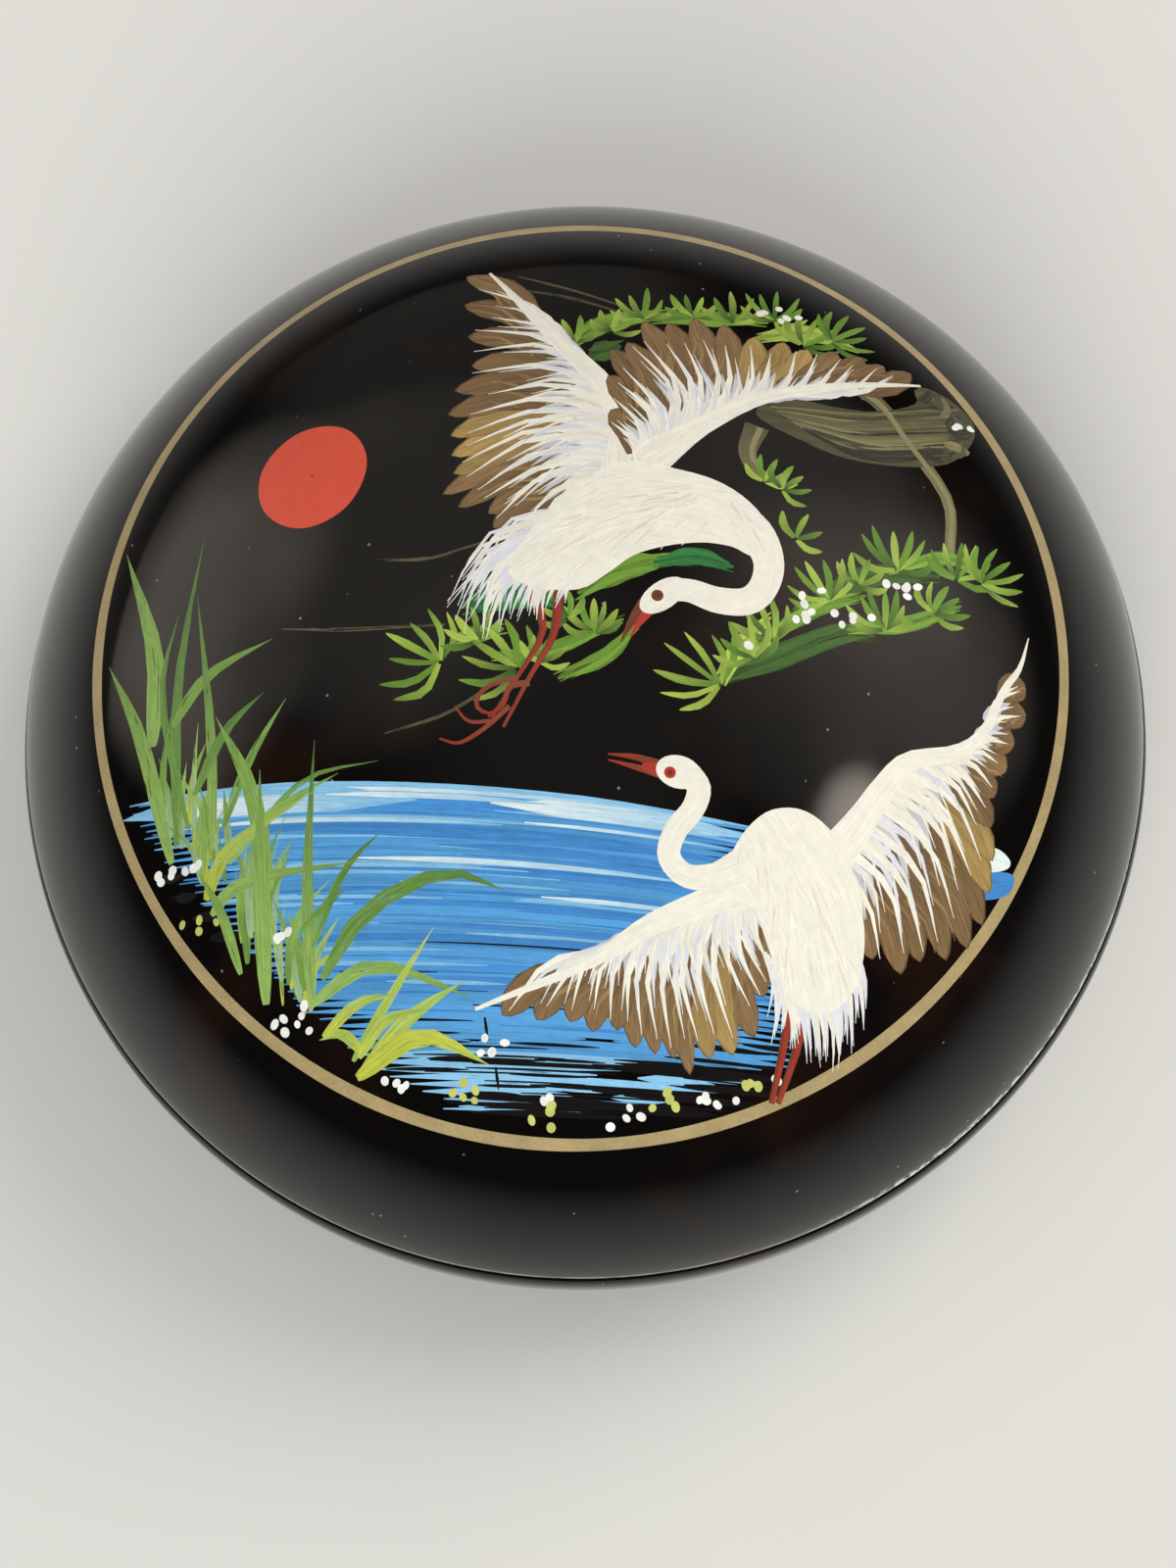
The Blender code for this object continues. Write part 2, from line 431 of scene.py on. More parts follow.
def bent(start, end, bend):
    """Three points from start to end, the middle one moved aside by a share of the length."""
    start, end = np.array(start, float), np.array(end, float)
    way = end - start
    return [start, (start + end) / 2 + bend * np.array([-way[1], way[0]]), end]


# Cranes


def paint_wing(painting, bone, edge, feathers, needles, bend, gold_at, rng):
    """Brown feathers out to the wing's edge, with white strokes over them that spring from its bone.

    bone runs from shoulder to wing tip, edge from the body to the same tip, and gold_at is the place
    along the edge where the feathers turn golden.
    """
    def feather_line(place, root_reach):
        root = point_on(bone, root_reach * max(place, 0.0) ** 1.25)
        return root, point_on(edge, place) - root

    for number in range(feathers):
        place = (number + 0.5) / feathers
        root, chord = feather_line(place, 0.74)
        start, end = root + chord * 0.2, root + chord * rng.uniform(0.94, 1.09)
        gap = np.linalg.norm(point_on(edge, place + 0.5 / feathers) - point_on(edge, place - 0.5 / feathers))
        width = max(1.2 - 0.55 * place, min(2.7, 1.2 * float(gap)))
        golden = rng.random() < math.exp(-((place - gold_at) / 0.12) ** 2)
        name = "feather_gold" if golden else "feather_brown"
        shade = rng.uniform(0.85, 1.15)
        painting.stroke(bent(start, end, bend), width * 1.06, petal_widths,
                        painting.colour(name, shade * 0.6), steps=8, streak=1.2)
        inner = start + (end - start) * 0.985
        painting.stroke(bent(start, inner, bend), width * 0.96, petal_widths,
                        painting.colour(name, shade * 0.78), painting.colour(name, shade * 1.1),
                        steps=9, dry=0.12, streak=1.8)
        for _ in range(2):
            aside = np.array([-chord[1], chord[0]]) / np.linalg.norm(chord) * rng.uniform(-0.28, 0.28) * width
            near = start + (end - start) * rng.uniform(0.3, 0.5)
            far = start + (end - start) * rng.uniform(0.8, 0.95)
            painting.stroke(bent(near + aside, far + aside, bend), rng.uniform(0.25, 0.5), needle_widths,
                            painting.colour("feather_bronze", rng.uniform(0.7, 1.1)), steps=5, dry=0.45)

    rows = (
        (0.0, 0.56, 1.9, ("cool_white",), 0.74),
        (0.0, 0.90, 1.05, ("white",), 1.0),
        (0.5, 0.74, 0.85, ("white", "cool_white"), 0.95),
        (0.25, 0.56, 0.55, ("white", "cream"), 1.0),
        (0.75, 0.44, 0.55, ("white", "cool_white"), 0.97),
    )
    for shift, reach, width, names, shade in rows:
        for number in range(needles):
            place = (number + 0.3 + shift + rng.uniform(-0.15, 0.15)) / needles
            root, chord = feather_line(min(place, 1.0), 0.7)
            end = root + chord * reach * rng.uniform(0.88, 1.06)
            painting.stroke(bent(root, end, bend * rng.uniform(1.0, 1.6)), width * rng.uniform(0.85, 1.1),
                            needle_widths,
                            painting.colour(rng.choice(names), shade * rng.uniform(0.96, 1.03)),
                            steps=8, dry=0.03, streak=0.6)


def paint_plumage(painting, centre_line, spread, count, length, heading, rng, fan=0.35):
    """Fine strokes of nearly the same white over a body, along its length."""
    path = smooth_path(centre_line, 40)
    sideways = np.array([math.cos(heading + math.pi / 2), math.sin(heading + math.pi / 2)])
    for _ in range(count):
        across = rng.uniform(-1, 1)
        start = path[rng.randrange(40)] + sideways * across * spread
        angle = heading + across * fan + rng.uniform(-0.12, 0.12)
        end = start + np.array([math.cos(angle), math.sin(angle)]) * length * rng.uniform(0.6, 1.1)
        painting.stroke(bent(start, end, rng.uniform(-0.06, 0.06)), rng.uniform(0.2, 0.36), needle_widths,
                        painting.colour(rng.choice(("white", "white", "cream")), rng.uniform(0.92, 1.08)),
                        steps=4, streak=0.8)


def paint_fringe(painting, roots, tips, count, width, bend, rng):
    """Loose white strokes from one line to another, as the end of a tail."""
    for number in range(count):
        place = (number + rng.uniform(0.2, 0.8)) / count
        start = point_on(roots, place)
        end = start + (point_on(tips, place) - start) * rng.uniform(0.7, 1.1)
        painting.stroke(bent(start, end, bend * rng.uniform(0.2, 1.6)), width * rng.uniform(0.7, 1.2),
                        needle_widths,
                        painting.colour(rng.choice(("white", "cool_white")), rng.uniform(0.93, 1.0)),
                        steps=7, dry=0.05, streak=0.6)


def paint_leg(painting, points, widths):
    """A thin leg, brown with a red light along one side."""
    painting.band(points, widths, painting.colour("leg_brown"), steps=10, streak=1.6)
    moved = [(x + widths[0] * 0.12, y + widths[0] * 0.06) for x, y in points]
    painting.band(moved, [width * 0.55 for width in widths], painting.colour("leg_red", 0.9),
                  steps=10, dry=0.4)


def paint_head(painting, centre, radii, lean, eye, eye_size, ring, pupil):
    """A rounded head with one round eye."""
    painting.disc(np.array(centre), radii, lean, painting.colour("white"), steps=24, streak=0.5)
    painting.disc(np.array(eye), (eye_size / 2, eye_size / 2), 0.0, ring, steps=14, streak=0.5)
    painting.disc(np.array(eye), (eye_size / 4, eye_size / 4), 0.0, pupil, steps=8, streak=0.5)


def paint_flying_crane(painting):
    """The upper crane, wings raised, with its neck curled back under it."""
    rng = random.Random(11)
    white = painting.colour("white")
    paint_wing(painting,
               [(4.4, 12.4), (5.8, 17.2), (4.8, 23.2), (-0.4, 30.4), (-5.8, 39.4)],
               [(-3.6, 7.8), (-9.4, 11.8), (-10.9, 18.4), (-8.7, 27.6), (-7.6, 41.2)],
               14, 17, -0.13, 0.5, rng)
    painting.band([(5.6, 14.0), (6.0, 18.6), (4.2, 24.0), (-0.6, 31.0), (-5.8, 39.8)],
                  (4.4, 2.8, 2.3, 1.4, 0.25), white, steps=16, streak=0.6)
    paint_wing(painting,
               [(7.0, 14.4), (12.4, 18.2), (18.8, 21.7), (26.6, 23.4), (36.2, 25.3)],
               [(4.6, 19.4), (6.2, 28.2), (12.4, 31.2), (20.6, 28.6), (28.4, 27.8), (36.0, 26.4)],
               15, 18, -0.13, 0.62, rng)
    painting.band([(7.6, 14.8), (13.0, 18.4), (19.2, 21.8), (26.6, 23.6), (35.6, 25.2)],
                  (4.2, 2.0, 1.5, 1.0, 0.25), white, steps=16, streak=0.6)
    paint_leg(painting, [(-4.2, 3.0), (-3.0, -1.4), (-5.6, -5.6), (-8.3, -9.3)], (1.1, 0.7, 0.4, 0.3))
    paint_leg(painting, [(-1.2, 2.6), (-2.1, -2.0), (-4.4, -5.6), (-7.3, -10.3)], (1.1, 0.75, 0.45, 0.3))
    for toe, width in (([(-5.6, -5.8), (-8.6, -6.4), (-9.6, -8.0), (-8.4, -8.9), (-7.2, -8.0)], 0.5),
                       ([(-4.6, -6.4), (-6.4, -6.6), (-7.2, -8.2), (-8.6, -9.2)], 0.65),
                       ([(-6.6, -8.4), (-9.0, -10.2), (-11.4, -11.3), (-13.2, -10.7)], 0.5),
                       ([(-8.4, -9.6), (-10.4, -9.4), (-11.6, -7.9)], 0.4)):
        painting.band(toe, (width, width * 0.8, width * 0.4), painting.colour("leg_brown", 1.4),
                      painting.colour("leg_red", 0.7), steps=12, dry=0.2)
    paint_fringe(painting, [(0.5, 10.4), (-2.6, 8.0), (-3.6, 5.4), (-0.4, 3.8)],
                 [(-9.8, 5.4), (-11.4, 1.2), (-8.2, -1.6), (-2.6, -0.2)], 32, 0.7, -0.15, rng)
    paint_fringe(painting, [(0.5, 9.6), (-3.0, 7.0), (-3.2, 4.6), (1.4, 3.6)],
                 [(-8.6, 5.2), (-9.0, 2.0), (-5.8, 0.2), (-0.6, 0.9)], 26, 0.8, -0.13, rng)
    painting.patch([(18.4, 7.8), (17.0, 10.4), (14.2, 12.6), (10.5, 14.0), (6.0, 15.1), (2.0, 13.4),
                    (-1.6, 10.6),
                    (-4.6, 7.2), (-5.8, 4.4), (-3.6, 2.8), (0.5, 2.2), (3.3, 3.6), (5.8, 5.2), (8.9, 6.0),
                    (12.3, 6.2), (15.0, 5.7), (17.0, 4.8)],
                   white, smooth_path([(16, 8), (6, 10), (-5, 4)], 8), streak=0.6)
    painting.band([(14.6, 8.8), (17.2, 7.2), (18.3, 4.2), (17.6, 1.6), (15.9, 0.2), (13.2, 0.4), (10.8, 1.4),
                   (8.8, 1.6)],
                  (4.4, 3.6, 2.9, 2.7, 2.7, 2.6, 2.3, 2.2), white, steps=34, streak=0.5)
    paint_plumage(painting, [(12.6, 10.2), (5.5, 9.4), (-1.5, 6.0)], 2.2, 64, 3.6, math.radians(203), rng)
    paint_plumage(painting, [(14.6, 10.2), (16.6, 8.2), (18.0, 5.2)], 0.9, 16, 2.0, math.radians(-62), rng,
                  0.1)
    painting.band([(6.6, 0.4), (5.2, -1.2), (4.0, -3.2)], (1.5, 0.8, 0.12), painting.colour("leg_brown"),
                  steps=8)
    painting.band([(6.9, -0.2), (5.8, -1.5), (4.9, -2.8)], (1.1, 0.6, 0.15), painting.colour("leg_red"),
                  steps=8)
    paint_head(painting, (8.2, 1.1), (2.5, 1.35), math.radians(33), (7.7, 1.1), 1.15,
               painting.colour("leg_brown"), painting.colour("leg_brown", 0.8))


def paint_standing_crane(painting):
    """The lower crane, which stands at the water's edge with its wings spread."""
    rng = random.Random(23)
    white = painting.colour("white")
    paint_leg(painting, [(17.0, -35.6), (15.9, -40.0), (14.6, -44.2)], (1.0, 0.75, 0.55))
    paint_leg(painting, [(18.6, -36.0), (17.0, -40.4), (15.2, -44.2)], (1.0, 0.75, 0.55))
    paint_wing(painting,
               [(20.0, -25.4), (23.6, -21.6), (27.0, -17.4), (29.6, -15.2), (34.2, -14.2), (37.2, -12.0),
                (39.7, -7.8), (41.6, -5.4), (42.8, -3.0)],
               [(22.8, -31.0), (25.0, -32.8), (28.4, -32.9), (31.6, -31.6), (34.4, -29.2), (36.2, -25.6),
                (37.2, -21.8), (38.0, -17.8), (39.8, -13.8), (41.6, -9.6), (42.5, -4.8)],
               15, 17, 0.13, 0.6, rng)
    painting.band([(20.6, -25.0), (24.2, -21.0), (27.3, -17.2), (29.8, -14.9), (34.4, -13.8), (37.3, -11.7),
                   (39.8, -7.5), (41.7, -5.1), (43.0, -1.9)],
                  (4.0, 2.6, 2.0, 1.3, 0.8, 0.6, 0.1), white, steps=24, streak=0.6)
    paint_wing(painting,
               [(15.0, -25.8), (9.6, -27.4), (4.2, -29.2), (-1.8, -32.0), (-11.2, -34.6)],
               [(15.6, -33.0), (13.6, -37.6), (8.8, -40.8), (5.0, -40.2), (1.0, -38.2), (-4.0, -36.8),
                (-11.2, -35.2)],
               14, 17, -0.13, 0.3, rng)
    painting.band([(-0.6, -32.4), (2.0, -30.0), (5.2, -28.0)], (0.4, 0.9, 0.3), painting.colour("bark_light"),
                  steps=8, dry=0.55)
    painting.band([(15.4, -25.6), (9.8, -27.2), (4.4, -29.0), (-1.6, -31.9), (-11.8, -34.7)],
                  (3.8, 2.4, 1.9, 1.0, 0.3), white, steps=16, streak=0.6)
    paint_fringe(painting, [(14.8, -31.6), (17.0, -34.6), (20.4, -35.0), (23.4, -32.0)],
                 [(14.6, -38.6), (17.8, -40.4), (21.0, -41.0), (24.2, -37.4)], 40, 0.8, 0.08, rng)
    painting.patch([(11.4, -25.4), (12.4, -23.2), (14.2, -20.8), (16.6, -19.3), (19.6, -19.5), (22.2, -21.8),
                    (23.8, -25.8), (24.2, -31.0), (22.8, -35.2), (19.6, -37.0), (16.6, -35.2), (15.0, -30.6),
                    (14.2, -28.0)],
                   white, smooth_path([(15, -22), (19, -29), (20, -36)], 8), streak=0.5)
    painting.band([(13.6, -24.2), (10.8, -25.0), (8.2, -24.8), (6.8, -23.0), (7.6, -20.8), (9.3, -19.0),
                   (10.0, -17.2), (9.2, -15.8)],
                  (3.4, 2.3, 2.1, 2.1, 2.1, 2.1, 2.2, 2.3), white, steps=30, streak=0.5)
    paint_plumage(painting, [(15.6, -21.6), (18.6, -27.6), (19.8, -33.6)], 3.2, 78, 3.4,
                  math.radians(-80), rng)
    for rise in (0.0, 0.9):
        painting.band([(6.6, -15.7 + rise), (4.4, -14.9 + rise), (2.0, -14.1 + 0.6 * rise)],
                      (0.8, 0.55, 0.12), painting.colour("leg_brown"), painting.colour("leg_red", 0.8),
                      steps=8)
    painting.band([(7.2, -15.4), (6.2, -15.2), (5.0, -14.8)], (1.7, 1.3, 0.4), painting.colour("leg_red"),
                  steps=6)
    paint_head(painting, (8.3, -15.6), (2.1, 1.5), math.radians(-18), (7.5, -15.6), 1.1,
               painting.colour("leg_red"), painting.colour("leg_red", 0.5))


# Pine, blossom and sun


def paint_pine_fan(painting, x, y, heading, count, length, rng):
    """Needle strokes that open from one point like a hand; heading is in degrees."""
    count += 1
    for number in range(count):
        share = number / (count - 1) - 0.5
        angle = math.radians(heading + share * 132 + rng.uniform(-4, 4))
        way = np.array([math.cos(angle), math.sin(angle)])
        start = np.array([x, y]) + 0.2 * way
        end = start + way * length * (1 - 0.5 * share * share) * rng.uniform(0.85, 1.12)
        low = painting.colour(rng.choice(("pine_dark", "pine_green", "pine_light")), rng.uniform(0.7, 1.1))
        high = painting.colour(rng.choice(("pine_green", "pine_light")), rng.uniform(0.8, 1.1))
        painting.stroke(bent(start, end, share * rng.uniform(0.2, 0.5)), rng.uniform(0.55, 0.8), leaf_widths,
                        low, high, steps=8, dry=0.06)


def paint_pine(painting):
    """Trunk, twigs, sprays of needles and blossom behind the flying crane."""
    rng = random.Random(5)
    for points, widths in (([(18.6, 18.6), (17.4, 15.6), (18.4, 13.2), (20.6, 12.2)], (2.4, 1.7, 1.2, 0.5)),
                           ([(25.0, 25.0), (30.4, 22.6), (33.0, 18.0), (36.4, 11.6), (35.9, 5.6)],
                            (1.0, 1.6, 1.4, 1.2, 1.0))):
        painting.band(points, widths, painting.colour("bark", 0.75), painting.colour("bark_light", 0.9),
                      steps=16, dry=0.1, streak=1.6)
    painting.patch([(18.6, 20.0), (22.4, 17.2), (27.0, 15.2), (32.4, 14.8), (37.0, 15.8), (39.8, 18.6),
                    (40.6, 21.6), (38.4, 24.2), (35.4, 25.0), (34.6, 22.6), (30.4, 21.0), (26.0, 21.2),
                    (21.6, 22.0)],
                   painting.colour("bark", 0.7), smooth_path([(18, 20), (27, 18), (40, 21)], 8),
                   dry=0.25, streak=2.0)
    for number in range(26):
        drop = number / 25
        start = (20.0 + 3.4 * drop, 21.0 - 3.0 * drop)
        middle = (29.0 + rng.uniform(-1, 1), 20.6 - 5.2 * drop)
        end = (39.4 - 3.0 * drop, 23.4 - 7.0 * drop)
        name = rng.choice(("bark_light", "bark", "bark_dark", "bark_light"))
        painting.band([start, middle, end], (0.15, rng.uniform(0.25, 0.7), 0.5, 0.15),
                      painting.colour(name, rng.uniform(0.5, 1.15)), steps=10, dry=0.35, streak=1.8)
    for x, y, size in ((37.4, 22.8, 1.4), (39.0, 20.6, 1.6), (38.2, 17.8, 1.3), (35.4, 16.4, 1.2),
                       (35.8, 23.9, 1.0)):
        for part in range(3):
            lean = rng.uniform(0.2, 1.4) + 1.6 * part
            way = np.array([math.cos(lean), math.sin(lean)]) * size
            name = rng.choice(("bark_light", "bark", "bark_dark"))
            painting.stroke(bent((x, y) - way, (x, y) + way, rng.uniform(-0.4, 0.4)), rng.uniform(0.6, 1.2),
                            petal_widths, painting.colour(name, rng.uniform(0.7, 1.15)), dry=0.35, streak=1.8)
    painting.band([(25.4, 25.2), (30.6, 22.4), (33.2, 17.8), (36.5, 11.6), (36.0, 6.2)],
                  (0.3, 0.7, 0.6, 0.5, 0.4), painting.colour("bark_light", 1.1), steps=16, dry=0.25)
    painting.band([(18.9, 18.4), (17.8, 15.4), (19.0, 13.0)], (0.6, 0.5, 0.3),
                  painting.colour("bark_light", 1.1), steps=10, dry=0.25)
    for points in ([(-27.4, 2.0), (-21.0, 0.8), (-12.0, 0.0)], [(-18.4, 7.4), (-13.4, 6.8), (-7.6, 7.8)],
                   [(-18.2, -9.6), (-12.4, -8.4), (-6.0, -5.2)], [(-3.0, 38.8), (2.0, 36.2), (7.2, 33.4)],
                   [(-4.2, 37.2), (1.6, 35.2), (6.6, 32.8)]):
        painting.band(points, (0.12, 0.42, 0.2), painting.colour("bark", 0.8), steps=10, dry=0.4)

    leaves = (
        ([(-10.6, 1.6), (-5.0, 2.4), (-1.0, 1.2)], 3.4, "pine_emerald"),
        ([(-11.6, -1.6), (-6.6, -1.0)], 1.8, "pine_green"),
        ([(-8.0, -3.6), (-2.4, -3.4), (4.4, -1.0)], 1.5, "pine_green"),
        ([(-2.0, -6.2), (2.6, -4.4), (5.6, -1.6)], 1.6, "pine_green"),
        ([(0.4, 1.8), (4.8, 4.0), (9.6, 4.6)], 2.6, "pine_green"),
        ([(7.6, 4.4), (11.6, 4.8), (15.0, 3.6)], 1.9, "pine_emerald"),
        ([(11.4, -7.6), (17.4, -5.6), (24.4, -3.0), (27.6, -3.2)], 2.4, "pine_dark"),
        ([(12.8, -7.4), (15.0, -4.2), (18.0, -1.4)], 1.9, "pine_light"),
        ([(17.4, -3.6), (22.0, -0.6), (27.2, 0.8)], 1.9, "pine_green"),
        ([(22.4, 0.6), (28.0, 2.8), (34.6, 3.2)], 2.4, "pine_dark"),
        ([(25.0, -2.6), (31.0, -1.8), (36.4, 0.4)], 1.7, "pine_green"),
        ([(29.8, 3.4), (36.0, 5.2), (40.4, 2.4)], 1.5, "pine_green"),
        ([(1.4, 28.6), (5.2, 31.4), (11.8, 32.4)], 2.3, "pine_green"),
        ([(9.4, 31.6), (15.6, 31.8), (21.0, 31.4)], 2.0, "pine_green"),
        ([(3.2, 27.4), (6.4, 28.4)], 2.6, "pine_dark"),
        ([(19.4, 29.2), (24.6, 30.4), (29.4, 29.0)], 2.4, "pine_light"),
    )
    for points, width, name in leaves:
        painting.band(points, (0.3, width, width * 0.9, 0.2), painting.colour(name, rng.uniform(0.7, 0.9)),
                      painting.colour(name, rng.uniform(0.9, 1.1)), steps=12, dry=0.3, streak=2.2)
        for aside in (-0.25, 0.25):
            moved = [(x + rng.uniform(-0.4, 0.4), y + aside * width) for x, y in points]
            painting.band(moved, (0.1, width * 0.35, width * 0.25, 0.1),
                          painting.colour(name, rng.uniform(1.0, 1.5)), steps=12, dry=0.4, streak=1.6)
    fans = (
        (8.8, 31.6, 92, 5, 3.9), (2.0, 29.0, 108, 4, 3.6), (13.6, 31.8, 80, 5, 3.4),
        (17.4, 31.0, 100, 5, 4.2), (21.6, 31.6, 78, 6, 4.4), (24.0, 28.6, 62, 6, 4.6),
        (27.0, 29.6, 38, 6, 4.3), (5.6, 30.2, 70, 4, 3.0),
        (30.4, 3.4, 88, 6, 4.4), (23.6, 0.2, 112, 6, 4.6), (36.2, 3.0, 78, 6, 4.2), (38.6, 3.0, 40, 6, 4.6),
        (28.6, -2.6, 96, 7, 3.9), (33.4, -0.6, 45, 5, 3.6), (18.0, -3.8, 130, 6, 4.2),
        (12.8, -7.8, 140, 6, 5.6), (16.0, -5.4, 105, 5, 3.8), (26.6, 1.8, 60, 4, 3.2),
        (-12.6, -3.6, 146, 6, 5.6), (-9.0, -2.0, 112, 5, 3.6), (-5.6, -5.0, 142, 6, 5.2),
        (-3.6, -4.6, 60, 4, 3.0), (1.6, -2.2, 86, 6, 3.6), (-0.6, -0.6, 120, 4, 3.0),
        (18.6, 12.4, 60, 4, 3.2), (20.2, 11.6, 30, 4, 2.8), (21.0, 6.4, 40, 3, 3.0),
    )
    for x, y, heading, count, length in fans:
        paint_pine_fan(painting, x, y, heading, count, length, rng)
    for x, y, count, spread in ((21.8, 32.6, 6, 1.0), (38.6, 20.6, 4, 0.9), (22.4, -1.4, 7, 1.5),
                                (31.4, 1.6, 6, 0.9), (26.4, -1.2, 3, 1.0), (15.6, -4.4, 1, 0.5),
                                (22.8, 1.0, 2, 0.6)):
        painting.dots(x, y, count, spread, "blossom", rng)


def paint_sun(painting):
    """A flat vermilion disc with the tiny mark of the compass point at its middle."""
    centre = np.array([-23.9, 17.5])
    radius = painting.settings.sun_radius / MM
    outward = centre / np.linalg.norm(centre)
    across = np.array([-outward[1], outward[0]])
    angles = np.linspace(0, 2 * math.pi, 96, endpoint=False)[:, None]
    wobble = 1 + 0.006 * np.sin(3 * angles + 1) + 0.004 * np.sin(7 * angles)
    outline = centre + radius * wobble * (0.92 * outward * np.cos(angles) + 1.02 * across * np.sin(angles))
    painting.add(outline, [centre - across * radius, centre + across * radius], painting.colour("vermilion"),
                 streak=0.22)
    painting.disc(centre, (0.14, 0.12), 0.3, painting.colour("leg_brown", 0.3), steps=8)


# Pond and reeds


def water_line(x, y):
    """Height on the plan of the water's level line through the middle at y, which tilts and bows a little."""
    far = np.clip((y + 45.0) / 28.0, 0.0, 1.0)
    return y - x * (0.12 + 0.08 * far) - 2.3 * far * (x / 44.0) ** 2


def water_span(y):
    """Left and right end of the water on its level line at y, from the bank to the crane or the gold line."""
    bank_heights = (-45.0, -39.0, -35.3, -25.6, -17.1, -11.8)
    bank_places = (-10.0, -21.4, -26.0, -34.2, -41.2, -44.2)
    x = np.linspace(-46.0, 18.0, 129)
    height = water_line(x, y)
    wet = (x > np.interp(height, bank_heights, bank_places)) & (np.hypot(x, height) < 45.4)
    return float(x[wet].min()), float(x[wet].max())


def paint_pond(painting):
    """Level brush strokes: pale along the far edge, blue below, and broken by black near the viewer."""
    rng = random.Random(31)
    top, bottom, rows = -17.9, -44.2, 46

    def level_stroke(y, start, end, width, colour, tip=None, steps=9, **touch):
        x = np.linspace(start, end, 6)
        painting.band(np.stack([x, water_line(x, y)], 1), (0.1, width, width, width * 0.9, 0.08), colour, tip,
                      steps, **touch)

    for row in range(rows):
        share = row / (rows - 1)
        y = top + (bottom - top) * share
        left, right = water_span(y)
        gaps = max(0.0, (share - 0.64) / 0.36)
        shade = 1.0 + 0.10 * math.sin(row * 0.8) + rng.uniform(-0.05, 0.05)
        name = rng.choice(("pond_blue", "pond_blue", "pond_blue", "pond_deep"))
        if share > 0.8:
            name = rng.choice(("pond_blue", "pond_light"))
        start = left + rng.uniform(0, 1.2)
        while start < right - 3:
            end = right - rng.uniform(0, 1.5) - 5.0 * gaps * rng.random()
            if gaps > 0 and rng.random() < gaps:
                end = min(end, start + rng.uniform(9, 26))
            if end - start > 3:
                level_stroke(y, start, end, 1.15 - 0.6 * gaps, painting.colour(name, shade), None, 14,
                             dry=0.05 + 0.25 * gaps, streak=0.8)
            start = end + rng.uniform(0.6, 4.0)
    for _ in range(96):
        y = rng.triangular(-42.0, top - 0.4, -25.0)
        share = (top - y) / (top - bottom)
        left, right = water_span(y)
        start = rng.uniform(left, right - 8)
        end = min(right, start + rng.uniform(8, 36) * (1 - 0.5 * share))
        name = rng.choice(("pond_light", "pond_deep", "pond_deep", "pond_blue"))
        level_stroke(y, start, end, rng.uniform(0.12, 0.4), painting.colour(name, rng.uniform(0.85, 1.0)),
                     dry=0.25)

    pale, white = painting.colour("pond_light"), painting.colour("pond_white")
    pale_strokes = (
        (-17.7, -43.6, 15.0, 0.9, pale),
        (-17.9, -30.0, 12.0, 0.35, white),
        (-18.7, -9.0, 15.0, 1.5, white),
        (-18.8, -44.4, -15.6, 2.6, pale),
        (-19.1, -40.0, -19.6, 1.7, white),
        (-18.9, -36.0, -22.0, 1.0, white),
        (-18.4, -24.0, -4.0, 0.5, white),
        (-20.6, -38.0, -8.0, 0.4, white),
        (-20.2, -6.0, 12.0, 0.3, white),
        (-22.0, -30.0, -10.0, 0.2, pale),
        (-23.9, -22.0, 9.4, 0.5, white),
        (-24.5, -34.0, -6.0, 0.3, pale),
        (-26.6, -5.0, 11.6, 0.4, white),
        (-27.2, -30.0, -14.0, 0.25, pale),
        (-44.4, -15.6, -3.0, 0.25, pale),
    )
    for y, start, end, width, colour in pale_strokes:
        level_stroke(y, start, end, width, colour, pale, 16, dry=0.18)
    for y, start, end, width in ((-21.6, -26.0, 10.0, 0.9), (-22.6, -14.0, 12.0, 0.7),
                                 (-29.4, -20.0, 8.0, 0.4)):
        level_stroke(y, start, end, width, painting.colour("pond_deep", 0.95), None, 14, dry=0.12)
    black = painting.colour("black")
    for y, start, end in ((-30.9, -16.0, 3.0), (-33.4, -24.0, -15.0), (-26.2, -40.0, -34.0),
                          (-36.0, -12.0, -2.0)):
        level_stroke(y, start, end, 0.16, black, dry=0.15)
    for _ in range(56):
        y = rng.triangular(-45.0, -35.0, -43.5)
        left, right = water_span(y)
        start = rng.uniform(left, max(left + 1, right - 5))
        end = min(right + 2, start + rng.uniform(4, 17))
        level_stroke(y, start, end, rng.uniform(0.15, 0.55), black, steps=7)
    for y, start, end in ((-26.4, -39.6, -37.4), (-28.2, -38.0, -34.6), (-30.0, -36.4, -33.0),
                          (-24.6, -41.0, -38.6)):
        level_stroke(y, start, end, 0.9, black, steps=7)
    for x, y, size in ((-11.0, -36.4, 1.9), (-10.4, -40.6, 1.9)):
        painting.band([(x, y + size / 2), (x + 0.1, y - size / 2)], (0.2, 0.3, 0.1), black, steps=5)
    painting.patch([(35.4, -24.8), (37.4, -24.3), (39.2, -24.4), (38.9, -25.8), (37.4, -26.6), (35.2, -26.7)],
                   painting.colour("pond_deep"), [(35.4, -25.6), (39.2, -25.0)], streak=0.8)
    painting.patch([(35.6, -22.6), (37.6, -22.2), (38.9, -23.0), (38.8, -23.8), (37.4, -24.3), (35.6, -24.2)],
                   white, [(35.6, -23.3), (38.9, -23.3)], streak=0.6)


